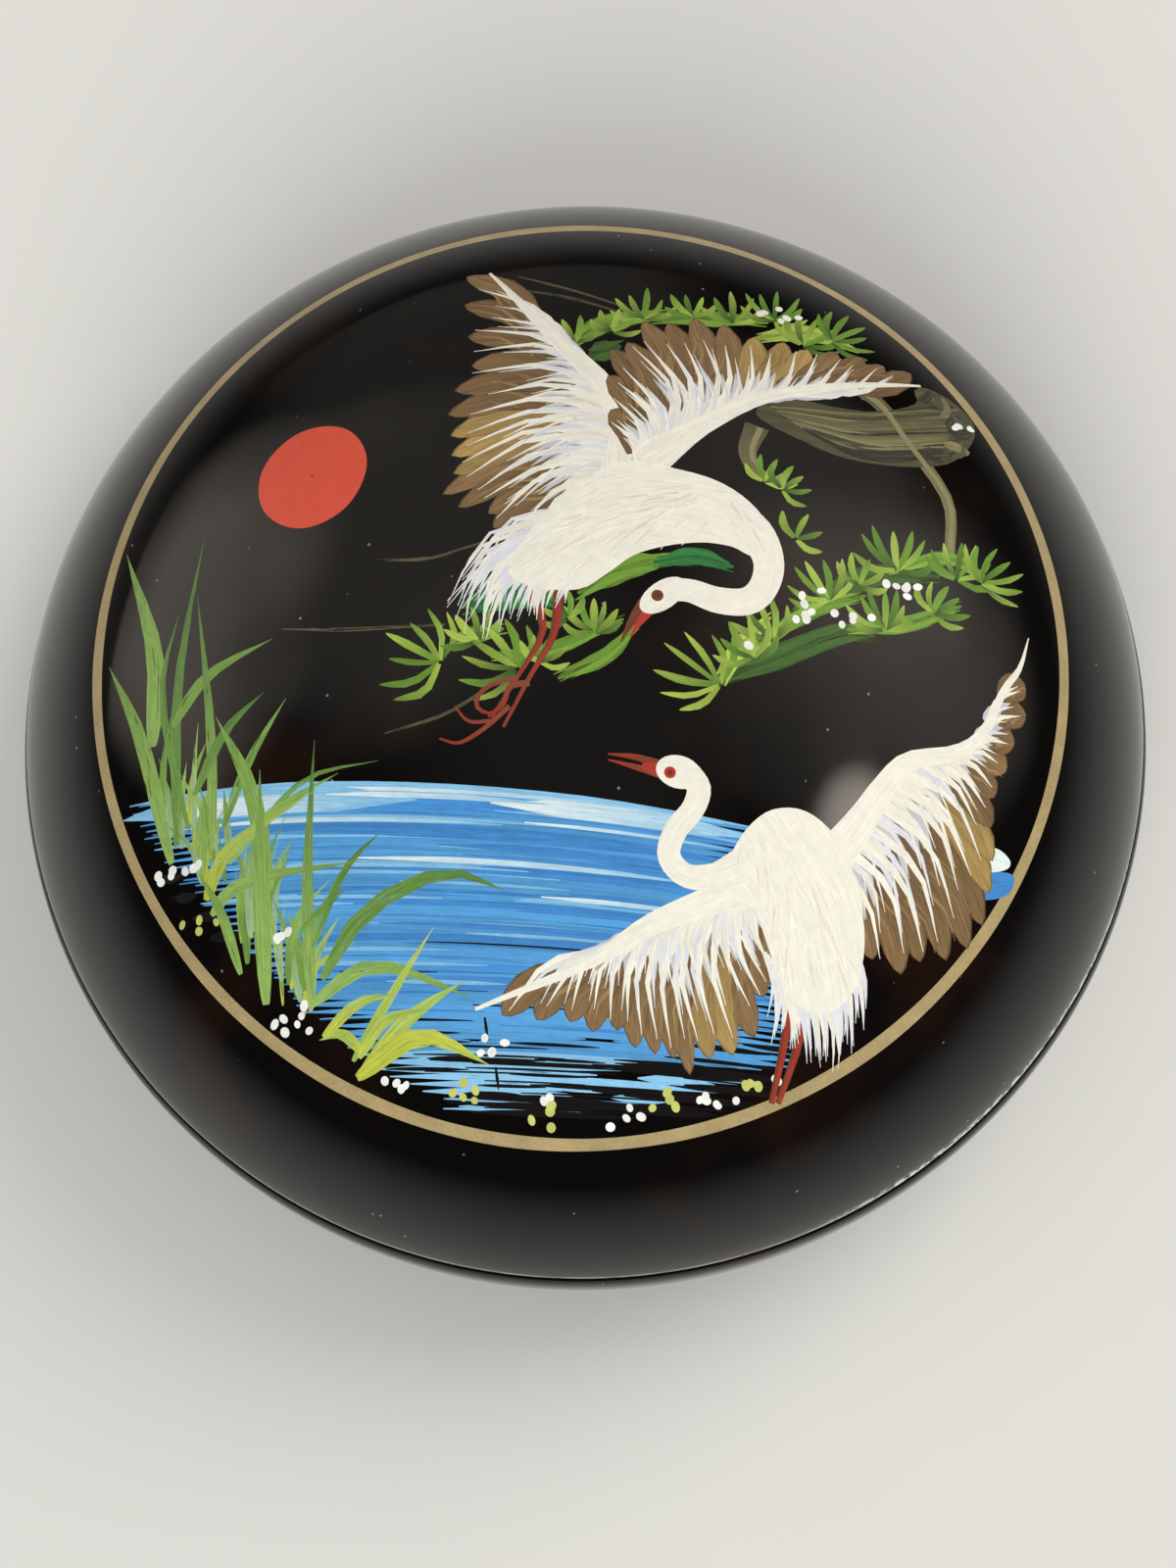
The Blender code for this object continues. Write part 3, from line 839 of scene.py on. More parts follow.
def paint_reeds(painting):
    """Clumps of long blades along the near left bank, with white and yellow dots at their feet."""
    rng = random.Random(47)

    def blade(points, width, low, high):
        painting.stroke(points, width * 0.86, blade_widths, painting.colour(low, rng.uniform(0.85, 1.05)),
                        painting.colour(high, rng.uniform(0.85, 1.1)), steps=10, dry=0.26, streak=1.6)

    blades = (
        ([(-40.8, -6.4), (-40.2, 2.6), (-43.2, 14.6)], 2.3, "reed_light", "reed_green"),
        ([(-39.6, -17.6), (-42.0, -5.4), (-45.2, 3.0)], 1.8, "reed_light", "reed_green"),
        ([(-38.8, -16.0), (-38.0, -2.0), (-34.8, 13.4)], 1.3, "reed_green", "reed_dark"),
        ([(-37.6, -15.0), (-39.6, -2.0), (-37.6, 6.0)], 0.9, "reed_green", "reed_dark"),
        ([(-38.6, -5.0), (-34.8, -1.0), (-28.4, 1.2)], 1.4, "reed_green", "reed_green"),
        ([(-35.3, -17.4), (-34.8, -6.2), (-35.6, 7.4)], 1.2, "reed_light", "reed_dark"),
        ([(-36.8, -12.0), (-33.4, -6.8), (-29.4, -3.8)], 1.2, "reed_green", "reed_dark"),
        ([(-34.2, -15.6), (-31.2, -10.0), (-27.3, -4.8)], 1.1, "reed_green", "reed_green"),
        ([(-30.0, -22.0), (-31.2, -12.6), (-34.2, -5.2)], 1.9, "reed_light", "reed_green"),
        ([(-31.4, -16.6), (-25.7, -12.6), (-19.0, -12.0)], 0.6, "reed_green", "reed_dark"),
        ([(-33.6, -18.6), (-29.4, -15.2), (-22.8, -12.6)], 1.3, "reed_light", "reed_green"),
        ([(-25.8, -30.4), (-21.0, -25.2), (-13.6, -22.8), (-8.0, -25.0)], 1.7, "reed_green", "reed_dark"),
        ([(-27.0, -32.6), (-26.4, -22.0), (-24.8, -9.2)], 1.4, "reed_light", "reed_dark"),
        ([(-26.4, -27.6), (-23.0, -21.6), (-19.2, -18.4)], 0.9, "reed_green", "reed_dark"),
        ([(-36.0, -23.0), (-32.4, -20.8), (-21.4, -20.8)], 1.4, "reed_light", "reed_green"),
        ([(-36.4, -21.6), (-33.6, -17.6), (-25.0, -13.8)], 1.7, "reed_yellow", "reed_light"),
        ([(-27.2, -32.4), (-20.6, -30.0), (-11.8, -33.8)], 1.5, "reed_light", "reed_green"),
        ([(-31.4, -31.6), (-30.8, -21.0), (-30.2, -11.0)], 2.0, "reed_light", "reed_green"),
        ([(-33.6, -28.6), (-35.0, -23.0), (-37.0, -19.0)], 1.2, "reed_light", "reed_green"),
        ([(-27.4, -26.0), (-24.6, -24.0), (-22.4, -22.8)], 0.8, "reed_green", "reed_dark"),
        ([(-23.2, -39.0), (-18.0, -34.8), (-12.6, -32.2)], 1.6, "reed_yellow", "reed_light"),
        ([(-23.4, -39.0), (-17.0, -36.4), (-11.0, -39.4)], 2.0, "reed_yellow", "reed_yellow"),
        ([(-23.6, -37.6), (-19.4, -32.6), (-15.0, -27.4)], 1.1, "reed_light", "reed_yellow"),
        ([(-22.6, -37.0), (-24.4, -35.2), (-26.6, -35.4)], 1.2, "reed_yellow", "reed_light"),
        ([(-23.0, -37.4), (-20.0, -34.6), (-15.8, -34.2)], 1.2, "reed_yellow", "reed_light"),
        ([(-26.2, -35.2), (-22.6, -32.9), (-19.0, -32.6)], 1.2, "reed_yellow", "reed_light"),
    )
    clumps = (
        (-38.6, -15.6, 7, 11.0), (-35.4, -19.6, 11, 9.0), (-31.8, -26.0, 18, 11.0), (-28.2, -31.0, 14, 9.0),
    )
    for x, y, count, height in clumps:
        for _ in range(count):
            root = (x + rng.uniform(-1.6, 1.8), y + rng.uniform(-2.2, 1.4))
            lean, size = rng.gauss(0.06, 0.2), height * rng.uniform(0.5, 1.05)
            middle = (root[0] + size * 0.3 * math.sin(lean), root[1] + size * 0.52)
            tip = (root[0] + size * math.sin(lean) * 1.2, root[1] + size * math.cos(lean))
            blade([root, middle, tip], rng.uniform(0.4, 1.15),
                  rng.choice(("reed_green", "reed_light", "reed_pale", "reed_yellow")),
                  rng.choice(("reed_light", "reed_green")))
    for points in blades:
        blade(*points)
    flowers = (
        (-39.2, -18.6, 7, 1.0, "blossom"),
        (-37.6, -23.4, 4, 0.9, "blossom_yellow"),
        (-29.0, -33.6, 7, 1.3, "blossom"),
        (-29.6, -26.6, 3, 0.8, "blossom"),
        (-20.0, -40.6, 5, 0.9, "blossom"),
        (-13.8, -41.3, 5, 1.0, "blossom_yellow"),
        (-11.2, -37.6, 4, 0.8, "blossom"),
        (-5.2, -43.0, 2, 0.6, "blossom"),
        (-5.8, -44.6, 4, 1.6, "blossom_yellow"),
        (1.0, -44.4, 4, 1.0, "blossom"),
        (5.0, -43.6, 4, 1.0, "blossom_yellow"),
        (8.8, -43.8, 6, 1.0, "blossom"),
        (12.6, -43.0, 3, 0.7, "blossom_yellow"),
        (15.0, -42.4, 2, 0.5, "blossom"),
    )
    for x, y, count, spread, name in flowers:
        painting.dots(x, y, count, spread, name, rng)


def ring_band(angle, settings):
    """Middle and half width of the gold line, which waver a little as a brush leaves them."""
    middle = settings.line_radius / MM + 0.05 * np.sin(3 * angle + 0.5)
    half = settings.line_width / MM / 2 * (1 + 0.05 * np.sin(5 * angle) + 0.03 * np.sin(17 * angle))
    return middle, half


def ring_mask(points, settings):
    """Which of these plan points lie on the gold line."""
    middle, half = ring_band(np.arctan2(points[:, 1], points[:, 0]), settings)
    return np.abs(np.hypot(points[:, 0], points[:, 1]) - middle) < half


def ring_edges(settings):
    """The two wavering edges of the gold line as closed outlines."""
    angle = np.linspace(0, 2 * math.pi, RING_STEPS, endpoint=False)
    middle, half = ring_band(angle, settings)
    way = np.stack([np.cos(angle), np.sin(angle)], 1)
    return [way * (middle - half)[:, None], way * (middle + half)[:, None]]


def inside(points, outline):
    """Which points lie inside a closed outline."""
    x, y = points[:, :1], points[:, 1:]
    start, end = outline, np.roll(outline, -1, 0)
    rise = end[:, 1] - start[:, 1]
    rise = np.where(np.abs(rise) < 1e-12, 1e-12, rise)
    cross = start[:, 0] + (y - start[:, 1]) / rise * (end[:, 0] - start[:, 0])
    up = (start[:, 1] <= y) & (end[:, 1] > y) & (x < cross)
    down = (start[:, 1] > y) & (end[:, 1] <= y) & (x < cross)
    return up.sum(1) - down.sum(1) != 0


def divide_ground(painting):
    """Divide the lid's plan into triangles that no stroke's edge crosses.

    Returns plan points, triangles, and for each triangle its top stroke and the one under it.
    """
    angle = np.linspace(0, 2 * math.pi, STEPS_AROUND, endpoint=False)
    outlines = [PAINTED_RADIUS * np.stack([np.cos(angle), np.sin(angle)], 1)]
    outlines += ring_edges(painting.settings)
    outlines += [stroke.outline for stroke in painting.strokes]
    points, edges = [], []
    for outline in outlines:
        first, count = len(points), len(outline)
        points += [Vector((float(x), float(y))) for x, y in outline]
        edges += [(first + step, first + (step + 1) % count) for step in range(count)]
    reach = int(PAINTED_RADIUS / GROUND_PITCH) + 1
    for row in range(-reach, reach + 1):
        for column in range(-reach, reach + 1):
            x = (column + 0.5 * (row % 2)) * GROUND_PITCH
            y = row * GROUND_PITCH * 0.87
            if math.hypot(x, y) < PAINTED_RADIUS - 0.6 * GROUND_PITCH:
                points.append(Vector((x, y)))
    made, _, faces, _, _, _ = delaunay_2d_cdt(points, edges, [], 0, MERGE_GAP, False)
    plan = np.array([tuple(point) for point in made])
    triangles = np.array(faces)
    middles = plan[triangles].mean(1)
    top = np.full(len(triangles), -1)
    under = np.full(len(triangles), -1)
    order = np.argsort(middles[:, 0])
    sorted_x = middles[order, 0]
    for number, stroke in enumerate(painting.strokes):
        low, high = stroke.outline.min(0), stroke.outline.max(0)
        near = order[np.searchsorted(sorted_x, low[0]):np.searchsorted(sorted_x, high[0])]
        near = near[(middles[near, 1] >= low[1]) & (middles[near, 1] <= high[1])]
        if len(near):
            hit = near[inside(middles[near], stroke.outline)]
            under[hit] = top[hit]
            top[hit] = number
    return plan, triangles, top, under


def stroke_places(points, spine):
    """How far along a spine and how far aside from it each point lies, and the share of its length."""
    start, way = spine[:-1], np.diff(spine, axis=0)
    size = np.maximum(np.linalg.norm(way, axis=1), 1e-9)
    unit = way / size[:, None]
    before = np.concatenate([[0.0], np.cumsum(size)])
    offset = points[:, None, :] - start[None]
    along = np.clip((offset * unit).sum(2), 0, size)
    gap = offset - along[..., None] * unit
    nearest = np.argmin((gap ** 2).sum(2), axis=1)
    pick = np.arange(len(points))
    aside = unit[nearest, 0] * gap[pick, nearest, 1] - unit[nearest, 1] * gap[pick, nearest, 0]
    reach = before[nearest] + along[pick, nearest]
    return reach, aside, reach / before[-1]


def corner_paint(painting, plan, triangles, top, under):
    """Colour, colour below, place along the brush's way and its touch at each triangle's corners."""
    shape = triangles.shape
    paint, below = np.zeros(shape + (4,)), np.zeros(shape + (4,))
    brush, touch = np.zeros(shape + (3,)), np.zeros(shape + (3,))
    rng = random.Random(3)
    for number, stroke in enumerate(painting.strokes):
        seed = rng.uniform(0.0, 60.0)
        start, change = np.array(stroke.colour), np.array(stroke.tip) - np.array(stroke.colour)
        for owner, target in ((top, paint), (under, below)):
            mine = np.flatnonzero(owner == number)
            if not len(mine):
                continue
            corners = plan[triangles[mine]].reshape(-1, 2)
            along, aside, share = stroke_places(corners, stroke.spine)
            target[mine, :, :3] = (start + share[:, None] * change).reshape(-1, 3, 3)
            target[mine, :, 3] = 1.0
            if target is paint:
                brush[mine] = np.stack([along, aside, np.full(len(along), seed)], 1).reshape(-1, 3, 3)
                touch[mine] = (stroke.dry, stroke.streak, 0.0)
    return paint, below, brush, touch


# Turned meshes


def turned_rings(outline, first_point=0, first_ring=None):
    """Points and faces of an outline turned about the Z axis, ring by ring; its ends may lie on the axis."""
    points, faces, rings = [], [], []
    angles = [2 * math.pi * step / STEPS_AROUND for step in range(STEPS_AROUND)]
    for number, (radius, height) in enumerate(outline):
        if number == 0 and first_ring is not None:
            rings.append(first_ring)
            continue
        next_point = first_point + len(points)
        if radius < 1e-9:
            rings.append([next_point])
            points.append((0.0, 0.0, height))
            continue
        rings.append(list(range(next_point, next_point + STEPS_AROUND)))
        points += [(radius * math.cos(angle), radius * math.sin(angle), height) for angle in angles]
    for upper, lower in zip(rings, rings[1:]):
        for step in range(STEPS_AROUND):
            after = (step + 1) % STEPS_AROUND
            if len(upper) == 1:
                faces.append((upper[0], lower[step], lower[after]))
            elif len(lower) == 1:
                faces.append((upper[step], lower[0], upper[after]))
            else:
                faces.append((upper[step], lower[step], lower[after], upper[after]))
    return points, faces


def lay_out_surface(mesh, arc_lengths, outer_faces):
    """UV map in two discs: faces before outer_faces in the large one, the rest in the small one."""
    layer = mesh.uv_layers.new(name="OFBake")
    loops = len(mesh.loops)
    vertex = np.empty(loops, int)
    mesh.loops.foreach_get("vertex_index", vertex)
    place = np.empty(len(mesh.vertices) * 3)
    mesh.vertices.foreach_get("co", place)
    place = place.reshape(-1, 3)
    angle = np.arctan2(place[:, 1], place[:, 0])
    starts = np.empty(len(mesh.polygons), int)
    mesh.polygons.foreach_get("loop_start", starts)
    split = starts[outer_faces] if outer_faces < len(starts) else loops
    outer = np.arange(loops) < split
    lengths = np.array([arc_lengths[0][index] if is_outer else arc_lengths[1][index]
                        for index, is_outer in zip(vertex, outer)])
    radius = np.where(outer, 0.40 * lengths / max(lengths[outer]), 0.095 * lengths / max(lengths[~outer]))
    centre = np.where(outer, 0.41, 0.90)
    uv = np.stack([centre + radius * np.cos(angle[vertex]), centre + radius * np.sin(angle[vertex])], 1)
    layer.data.foreach_set("uv", uv.ravel())


def add_object(name, mesh):
    """A mesh as an object of the scene."""
    piece = bpy.data.objects.new(name, mesh)
    bpy.context.scene.collection.objects.link(piece)
    return piece


def add_corner_values(mesh, name, kind, values):
    """A value at each corner of the mesh; corners past the given ones keep zero."""
    width = values.shape[-1] if values.ndim == 3 else 1
    full = np.zeros((len(mesh.loops), width), dtype=np.float32)
    full[:values.shape[0] * values.shape[1]] = values.reshape(-1, width)
    attribute = mesh.attributes.new(name, kind, "CORNER")
    field = {"FLOAT": "value", "FLOAT_VECTOR": "vector", "FLOAT_COLOR": "color"}[kind]
    attribute.data.foreach_set(field, full.ravel())


def outline_lengths(outline):
    """Distance along an outline at each of its points."""
    steps = [math.dist(a, b) for a, b in zip(outline, outline[1:])]
    return np.concatenate([[0.0], np.cumsum(steps)])


def build_lid(sizes, settings):
    """The lid, with its painting as flat shapes in its top surface."""
    painting = Painting(settings)
    for paint in (paint_pond, paint_sun, paint_pine, paint_flying_crane, paint_reeds, paint_standing_crane):
        paint(painting)
    plan, triangles, top, under = divide_ground(painting)
    first, second, third = (plan[triangles[:, column]] for column in range(3))
    turn = ((second[:, 0] - first[:, 0]) * (third[:, 1] - first[:, 1])
            - (second[:, 1] - first[:, 1]) * (third[:, 0] - first[:, 0]))
    triangles[turn < 0] = triangles[turn < 0][:, ::-1]
    plan_radius = np.hypot(plan[:, 0], plan[:, 1])
    heights = sizes.lid_bottom + dome_height(plan_radius * MM, sizes.lid_radius, sizes.lid_rise)
    top_points = np.column_stack([plan * MM, heights])
    border = np.flatnonzero(plan_radius > PAINTED_RADIUS - 1e-3)
    if len(border) != STEPS_AROUND:
        raise RuntimeError("the painted ground's border has %d points" % len(border))
    turn_at = np.mod(np.arctan2(plan[border, 1], plan[border, 0]) + 1e-6, 2 * math.pi)
    first_ring = border[np.argsort(turn_at)].tolist()

    outline = lid_outline(sizes)
    ring_points, ring_faces = turned_rings(outline, len(plan), first_ring)
    mesh = bpy.data.meshes.new("painted_lid")
    mesh.from_pydata(top_points.tolist() + ring_points, [], triangles.tolist() + ring_faces)
    outside_rings = DOME_STEPS_TO_RIM + ROUND_STEPS + 1
    outer_faces = len(triangles) + outside_rings * STEPS_AROUND
    mesh.materials.append(painted_lacquer(settings))
    mesh.materials.append(satin_lacquer("lid_inside_lacquer"))
    mesh.polygons.foreach_set("material_index", [0] * outer_faces + [1] * (len(mesh.polygons) - outer_faces))

    dome_points = len(plan) + (DOME_STEPS_TO_RIM - 1) * STEPS_AROUND
    smooth_lid(mesh, sizes, dome_points)
    paint, below, brush, touch = corner_paint(painting, plan, triangles, top, under)
    gold = (ring_mask(plan[triangles].mean(1), settings) & (top < 0)).astype(float)
    add_corner_values(mesh, "paint", "FLOAT_COLOR", paint)
    add_corner_values(mesh, "under", "FLOAT_COLOR", below)
    add_corner_values(mesh, "brush", "FLOAT_VECTOR", brush)
    add_corner_values(mesh, "touch", "FLOAT_VECTOR", touch)
    add_corner_values(mesh, "gold", "FLOAT", np.repeat(gold[:, None], 3, 1))

    fine = np.linspace(0, PAINTED_RADIUS * MM, 400)
    curve = list(zip(fine, dome_height(fine, sizes.lid_radius, sizes.lid_rise)))
    crown_lengths = outline_lengths(curve)
    plan_lengths = np.interp(plan_radius * MM, fine, crown_lengths)
    rim_lengths = outline_lengths(outline)
    from_crown, from_inside = list(plan_lengths), [0.0] * len(plan)
    for number, (radius, _) in enumerate(outline[1:], 1):
        copies = 1 if radius < 1e-9 else STEPS_AROUND
        from_crown += [crown_lengths[-1] + rim_lengths[number]] * copies
        from_inside += [rim_lengths[-1] - rim_lengths[number]] * copies
    lay_out_surface(mesh, (from_crown, from_inside), outer_faces)
    piece = add_object("painted_lid", mesh)
    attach(piece, BODY)
    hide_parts("lid")


def smooth_lid(mesh, sizes, dome_points):
    """Shade the dome by its true curve, so that the painting's edges leave no mark in its gloss."""
    mesh.shade_smooth()
    mesh.set_sharp_from_angle(angle=SHARP_ANGLE)
    loops = len(mesh.loops)
    vertex = np.empty(loops, int)
    mesh.loops.foreach_get("vertex_index", vertex)
    place = np.empty(len(mesh.vertices) * 3)
    mesh.vertices.foreach_get("co", place)
    place = place.reshape(-1, 3)[:dome_points]
    radius = np.maximum(np.hypot(place[:, 0], place[:, 1]), 1e-9)
    slope = dome_slope(radius, sizes.lid_radius, sizes.lid_rise)
    dome = np.column_stack([slope * place[:, 0] / radius, slope * place[:, 1] / radius, np.ones(len(place))])
    dome /= np.linalg.norm(dome, axis=1)[:, None]
    normals = np.empty(loops * 3)
    mesh.corner_normals.foreach_get("vector", normals)
    normals = normals.reshape(-1, 3)
    on_dome = vertex < dome_points
    normals[on_dome] = dome[vertex[on_dome]]
    mesh.normals_split_custom_set(normals.tolist())


def build_base(sizes):
    """The base: floor, side, flange and foot ring in one turned piece."""
    outline = base_outline(sizes)
    points, faces = turned_rings(outline)
    mesh = bpy.data.meshes.new("turned_base")
    mesh.from_pydata(points, [], faces)
    seam = sizes.lid_bottom - sizes.seam_gap
    seat = next(number for number, (_, height) in enumerate(outline) if abs(height - seam) < 1e-9)
    under = next(number for number, (_, height) in enumerate(outline)
                 if number > seat and abs(height - sizes.foot_height) < 1e-9)
    mesh.materials.append(satin_lacquer("base_inside_lacquer"))
    mesh.materials.append(gloss_lacquer("base_outside_lacquer"))
    finish = []
    for face in range(len(mesh.polygons)):
        ring = face // STEPS_AROUND
        finish.append(1 if seat <= ring < under else 0)
    mesh.polygons.foreach_set("material_index", finish)
    mesh.shade_smooth()
    mesh.set_sharp_from_angle(angle=SHARP_ANGLE)
    lengths = outline_lengths(outline)
    from_floor, from_foot = [], []
    for number, (radius, _) in enumerate(outline):
        copies = 1 if radius < 1e-9 else STEPS_AROUND
        from_floor += [lengths[number]] * copies
        from_foot += [lengths[-1] - lengths[number]] * copies
    lay_out_surface(mesh, (from_floor, from_foot), seat * STEPS_AROUND)
    piece = add_object("turned_base", mesh)
    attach(piece, BODY)
    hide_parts("base")


# Finishes


class Nodes:
    """Adds shader nodes to a tree and links them."""

    def __init__(self, tree):
        self.tree = tree

    def add(self, kind, inputs=None, **settings):
        node = self.tree.nodes.new(kind)
        for name, value in settings.items():
            setattr(node, name, value)
        for name, value in (inputs or {}).items():
            if isinstance(value, bpy.types.NodeSocket):
                self.tree.links.new(value, node.inputs[name])
            else:
                node.inputs[name].default_value = value
        return node

    def math(self, operation, first, second=0.0, clamp=False):
        node = self.add("ShaderNodeMath", {0: first, 1: second}, operation=operation, use_clamp=clamp)
        return node.outputs[0]

    def spread(self, value, low, high, to_low=0.0, to_high=1.0):
        """Map low to high onto another range, with soft ends."""
        node = self.add("ShaderNodeMapRange", {"Value": value, "From Min": low, "From Max": high,
                                               "To Min": to_low, "To Max": to_high},
                        interpolation_type="SMOOTHSTEP")
        return node.outputs["Result"]

    def mix(self, factor, first, second, blend="MIX"):
        node = self.add("ShaderNodeMix", {"Factor": factor}, data_type="RGBA", blend_type=blend)
        for socket, value in ((node.inputs[6], first), (node.inputs[7], second)):
            if isinstance(value, bpy.types.NodeSocket):
                self.tree.links.new(value, socket)
            else:
                socket.default_value = value
        return node.outputs[2]

    def grey(self, value):
        node = self.add("ShaderNodeCombineColor", {0: value, 1: value, 2: value})
        return node.outputs[0]

    def noise(self, vector, scale, detail=2.0, roughness=0.5):
        node = self.add("ShaderNodeTexNoise", {"Vector": vector, "Scale": scale, "Detail": detail,
                                               "Roughness": roughness})
        return node.outputs[0]

    def stretch(self, vector, x, y, z):
        node = self.add("ShaderNodeVectorMath", {0: vector, 1: (x, y, z)}, operation="MULTIPLY")
        return node.outputs[0]


def new_finish(name):
    """A material with its node helper, its shader and the object's own coordinates."""
    material = bpy.data.materials.new(name)
    material.use_nodes = True
    nodes = Nodes(material.node_tree)
    shader = material.node_tree.nodes["Principled BSDF"]
    place = nodes.add("ShaderNodeTexCoord").outputs["Object"]
    return material, nodes, shader, place


def rgba(colour, shade=1.0):
    return (*linear(colour, shade), 1.0)


def dust_mask(nodes, place, cells, size, share):
    """Small specks in a few of the cells that fill the surface."""
    cell = nodes.add("ShaderNodeTexVoronoi", {"Vector": place, "Scale": cells})
    near = nodes.spread(cell.outputs["Distance"], size, size * 0.4)
    chosen = nodes.add("ShaderNodeSeparateColor", {0: cell.outputs["Color"]})
    kept = nodes.math("LESS_THAN", chosen.outputs[0], share)
    return nodes.math("MULTIPLY", near, kept)


def black_lacquer(nodes, place):
    """Black, faintly reddish where it is thin, with specks of dust."""
    thin = nodes.spread(nodes.noise(place, 55.0, 3.0), 0.52, 0.72)
    lacquer = nodes.mix(thin, (0.0022, 0.0019, 0.0018, 1), (0.0105, 0.0042, 0.0026, 1))
    dust = dust_mask(nodes, place, 420.0, 0.075, 0.4)
    return nodes.mix(nodes.math("MULTIPLY", dust, 0.7), lacquer, (0.30, 0.29, 0.27, 1))


def painted_lacquer(settings):
    """Black gloss lacquer with the brushwork of the painting and the gold line in it, and a painted highlight
    and painted glints along the rim's lower edge.
    """
    material, nodes, shader, place = new_finish("painted_lacquer")
    paint = nodes.add("ShaderNodeAttribute", attribute_name="paint")
    under = nodes.add("ShaderNodeAttribute", attribute_name="under")
    brush = nodes.add("ShaderNodeAttribute", attribute_name="brush")
    touch = nodes.add("ShaderNodeSeparateXYZ",
                      {0: nodes.add("ShaderNodeAttribute", attribute_name="touch").outputs["Vector"]})
    dry, streak = touch.outputs["X"], touch.outputs["Y"]
    gold = nodes.add("ShaderNodeAttribute", attribute_name="gold")

    bristles = nodes.noise(nodes.stretch(brush.outputs["Vector"], 0.22, 6.5, 3.0), 1.0, 3.0, 0.65)
    fine = nodes.noise(nodes.stretch(brush.outputs["Vector"], 0.5, 16.0, 5.0), 1.0, 2.0, 0.6)
    blotch = nodes.noise(place, 900.0, 3.0, 0.6)
    limit = nodes.math("SUBTRACT", 0.76, nodes.math("MULTIPLY", dry, 0.62))
    bare = nodes.math("MULTIPLY", nodes.math("SUBTRACT", bristles, limit), 9.0, clamp=True)
    streaks = nodes.math("ADD", nodes.spread(bristles, 0.25, 0.75, -0.16, 0.12),
                         nodes.spread(fine, 0.3, 0.7, -0.08, 0.08))
    shade = nodes.math("ADD", nodes.math("MULTIPLY", streaks, streak),
                       nodes.spread(blotch, 0.3, 0.7, 0.96, 1.03))
    brushed = nodes.mix(1.0, paint.outputs["Color"], nodes.grey(shade), "MULTIPLY")
    brushed = nodes.mix(bare, brushed, under.outputs["Color"])
    open_ground = nodes.math("MULTIPLY", bare, nodes.math("SUBTRACT", 1.0, under.outputs["Alpha"]))
    cover = nodes.math("MULTIPLY", paint.outputs["Alpha"], nodes.math("SUBTRACT", 1.0, open_ground))

    lacquer = black_lacquer(nodes, place)

    grain = nodes.noise(place, 6500.0, 2.0, 0.7)
    wash = nodes.noise(place, 260.0, 3.0, 0.6)
    gold_shade = nodes.math("ADD", nodes.spread(grain, 0.3, 0.7, 0.84, 1.12),
                            nodes.spread(wash, 0.3, 0.7, -0.1, 0.08))
    gold_colour = nodes.mix(1.0, rgba(settings.gold), nodes.grey(gold_shade), "MULTIPLY")
    thin = nodes.spread(nodes.noise(place, 2400.0, 2.0, 0.7), 0.20, 0.34, 0.6, 1.0)
    gold_cover = nodes.math("MULTIPLY", gold.outputs["Fac"], thin)

    # Painted highlight: a thin grey line along the rim's lower edge, where its round catches the light,
    # broken up by noise.
    axis = nodes.add("ShaderNodeSeparateXYZ", {0: place})
    edge = nodes.spread(axis.outputs["Z"], LID_LOW.z + 0.0007, LID_LOW.z + 0.0003)
    painted_rim_highlight = nodes.spread(nodes.noise(place, 300.0, 3.0, 0.6), 0.30, 0.55, 0.35, 1.0)
    painted_rim_highlight = nodes.math("MULTIPLY", edge, painted_rim_highlight)
    # Painted glints: pale specks close to the rim's lower edge, only on its near right side, where its uneven
    # edge catches the light.
    low = nodes.spread(axis.outputs["Z"], LID_LOW.z + 0.0015, LID_LOW.z + 0.0005)
    side = nodes.math("SUBTRACT", nodes.math("MULTIPLY", axis.outputs["X"], 0.72),
                      nodes.math("MULTIPLY", axis.outputs["Y"], 0.69))
    facing = nodes.spread(side, 0.049, 0.0555)
    glint_specks = nodes.spread(nodes.noise(place, 900.0, 3.0, 0.7), 0.44, 0.56)
    painted_glints = nodes.math("MULTIPLY", nodes.math("MULTIPLY", low, glint_specks), facing)

    colour = nodes.mix(cover, lacquer, brushed)
    colour = nodes.mix(gold_cover, colour, gold_colour)
    # Lay the painted rim highlight, then the painted glints, over the colour.
    colour = nodes.mix(painted_rim_highlight, colour, (0.24, 0.24, 0.23, 1))
    colour = nodes.mix(painted_glints, colour, (0.72, 0.72, 0.70, 1))
    nodes.tree.links.new(colour, shader.inputs["Base Color"])

    polish = nodes.spread(nodes.noise(place, 90.0, 4.0, 0.6), 0.3, 0.7, 0.055, 0.10)
    satin = nodes.spread(bristles, 0.3, 0.7, 0.24, 0.38)
    roughness = nodes.math("ADD", polish, nodes.math("MULTIPLY", cover, satin))
    roughness = nodes.math("ADD", roughness, nodes.math("MULTIPLY", gold_cover, 0.25))
    # The painted glints are also made rougher.
    roughness = nodes.math("ADD", roughness, nodes.math("MULTIPLY", painted_glints, 0.3))
    nodes.tree.links.new(roughness, shader.inputs["Roughness"])
    nodes.tree.links.new(nodes.math("MULTIPLY", gold_cover, 0.12), shader.inputs["Metallic"])

    thickness = nodes.math("MULTIPLY", cover, nodes.spread(bristles, 0.2, 0.8, 0.55, 1.0))
    thickness = nodes.math("ADD", thickness, nodes.math("MULTIPLY", gold_cover, 0.5))
    ridges = nodes.add("ShaderNodeBump", {"Height": thickness, "Strength": 0.5, "Distance": 0.00006})
    swell = nodes.noise(place, 75.0, 2.0, 0.5)
    waves = nodes.add("ShaderNodeBump", {"Height": swell, "Strength": 0.5, "Distance": 0.0001,
                                         "Normal": ridges.outputs[0]})
    nodes.tree.links.new(waves.outputs[0], shader.inputs["Normal"])
    return material


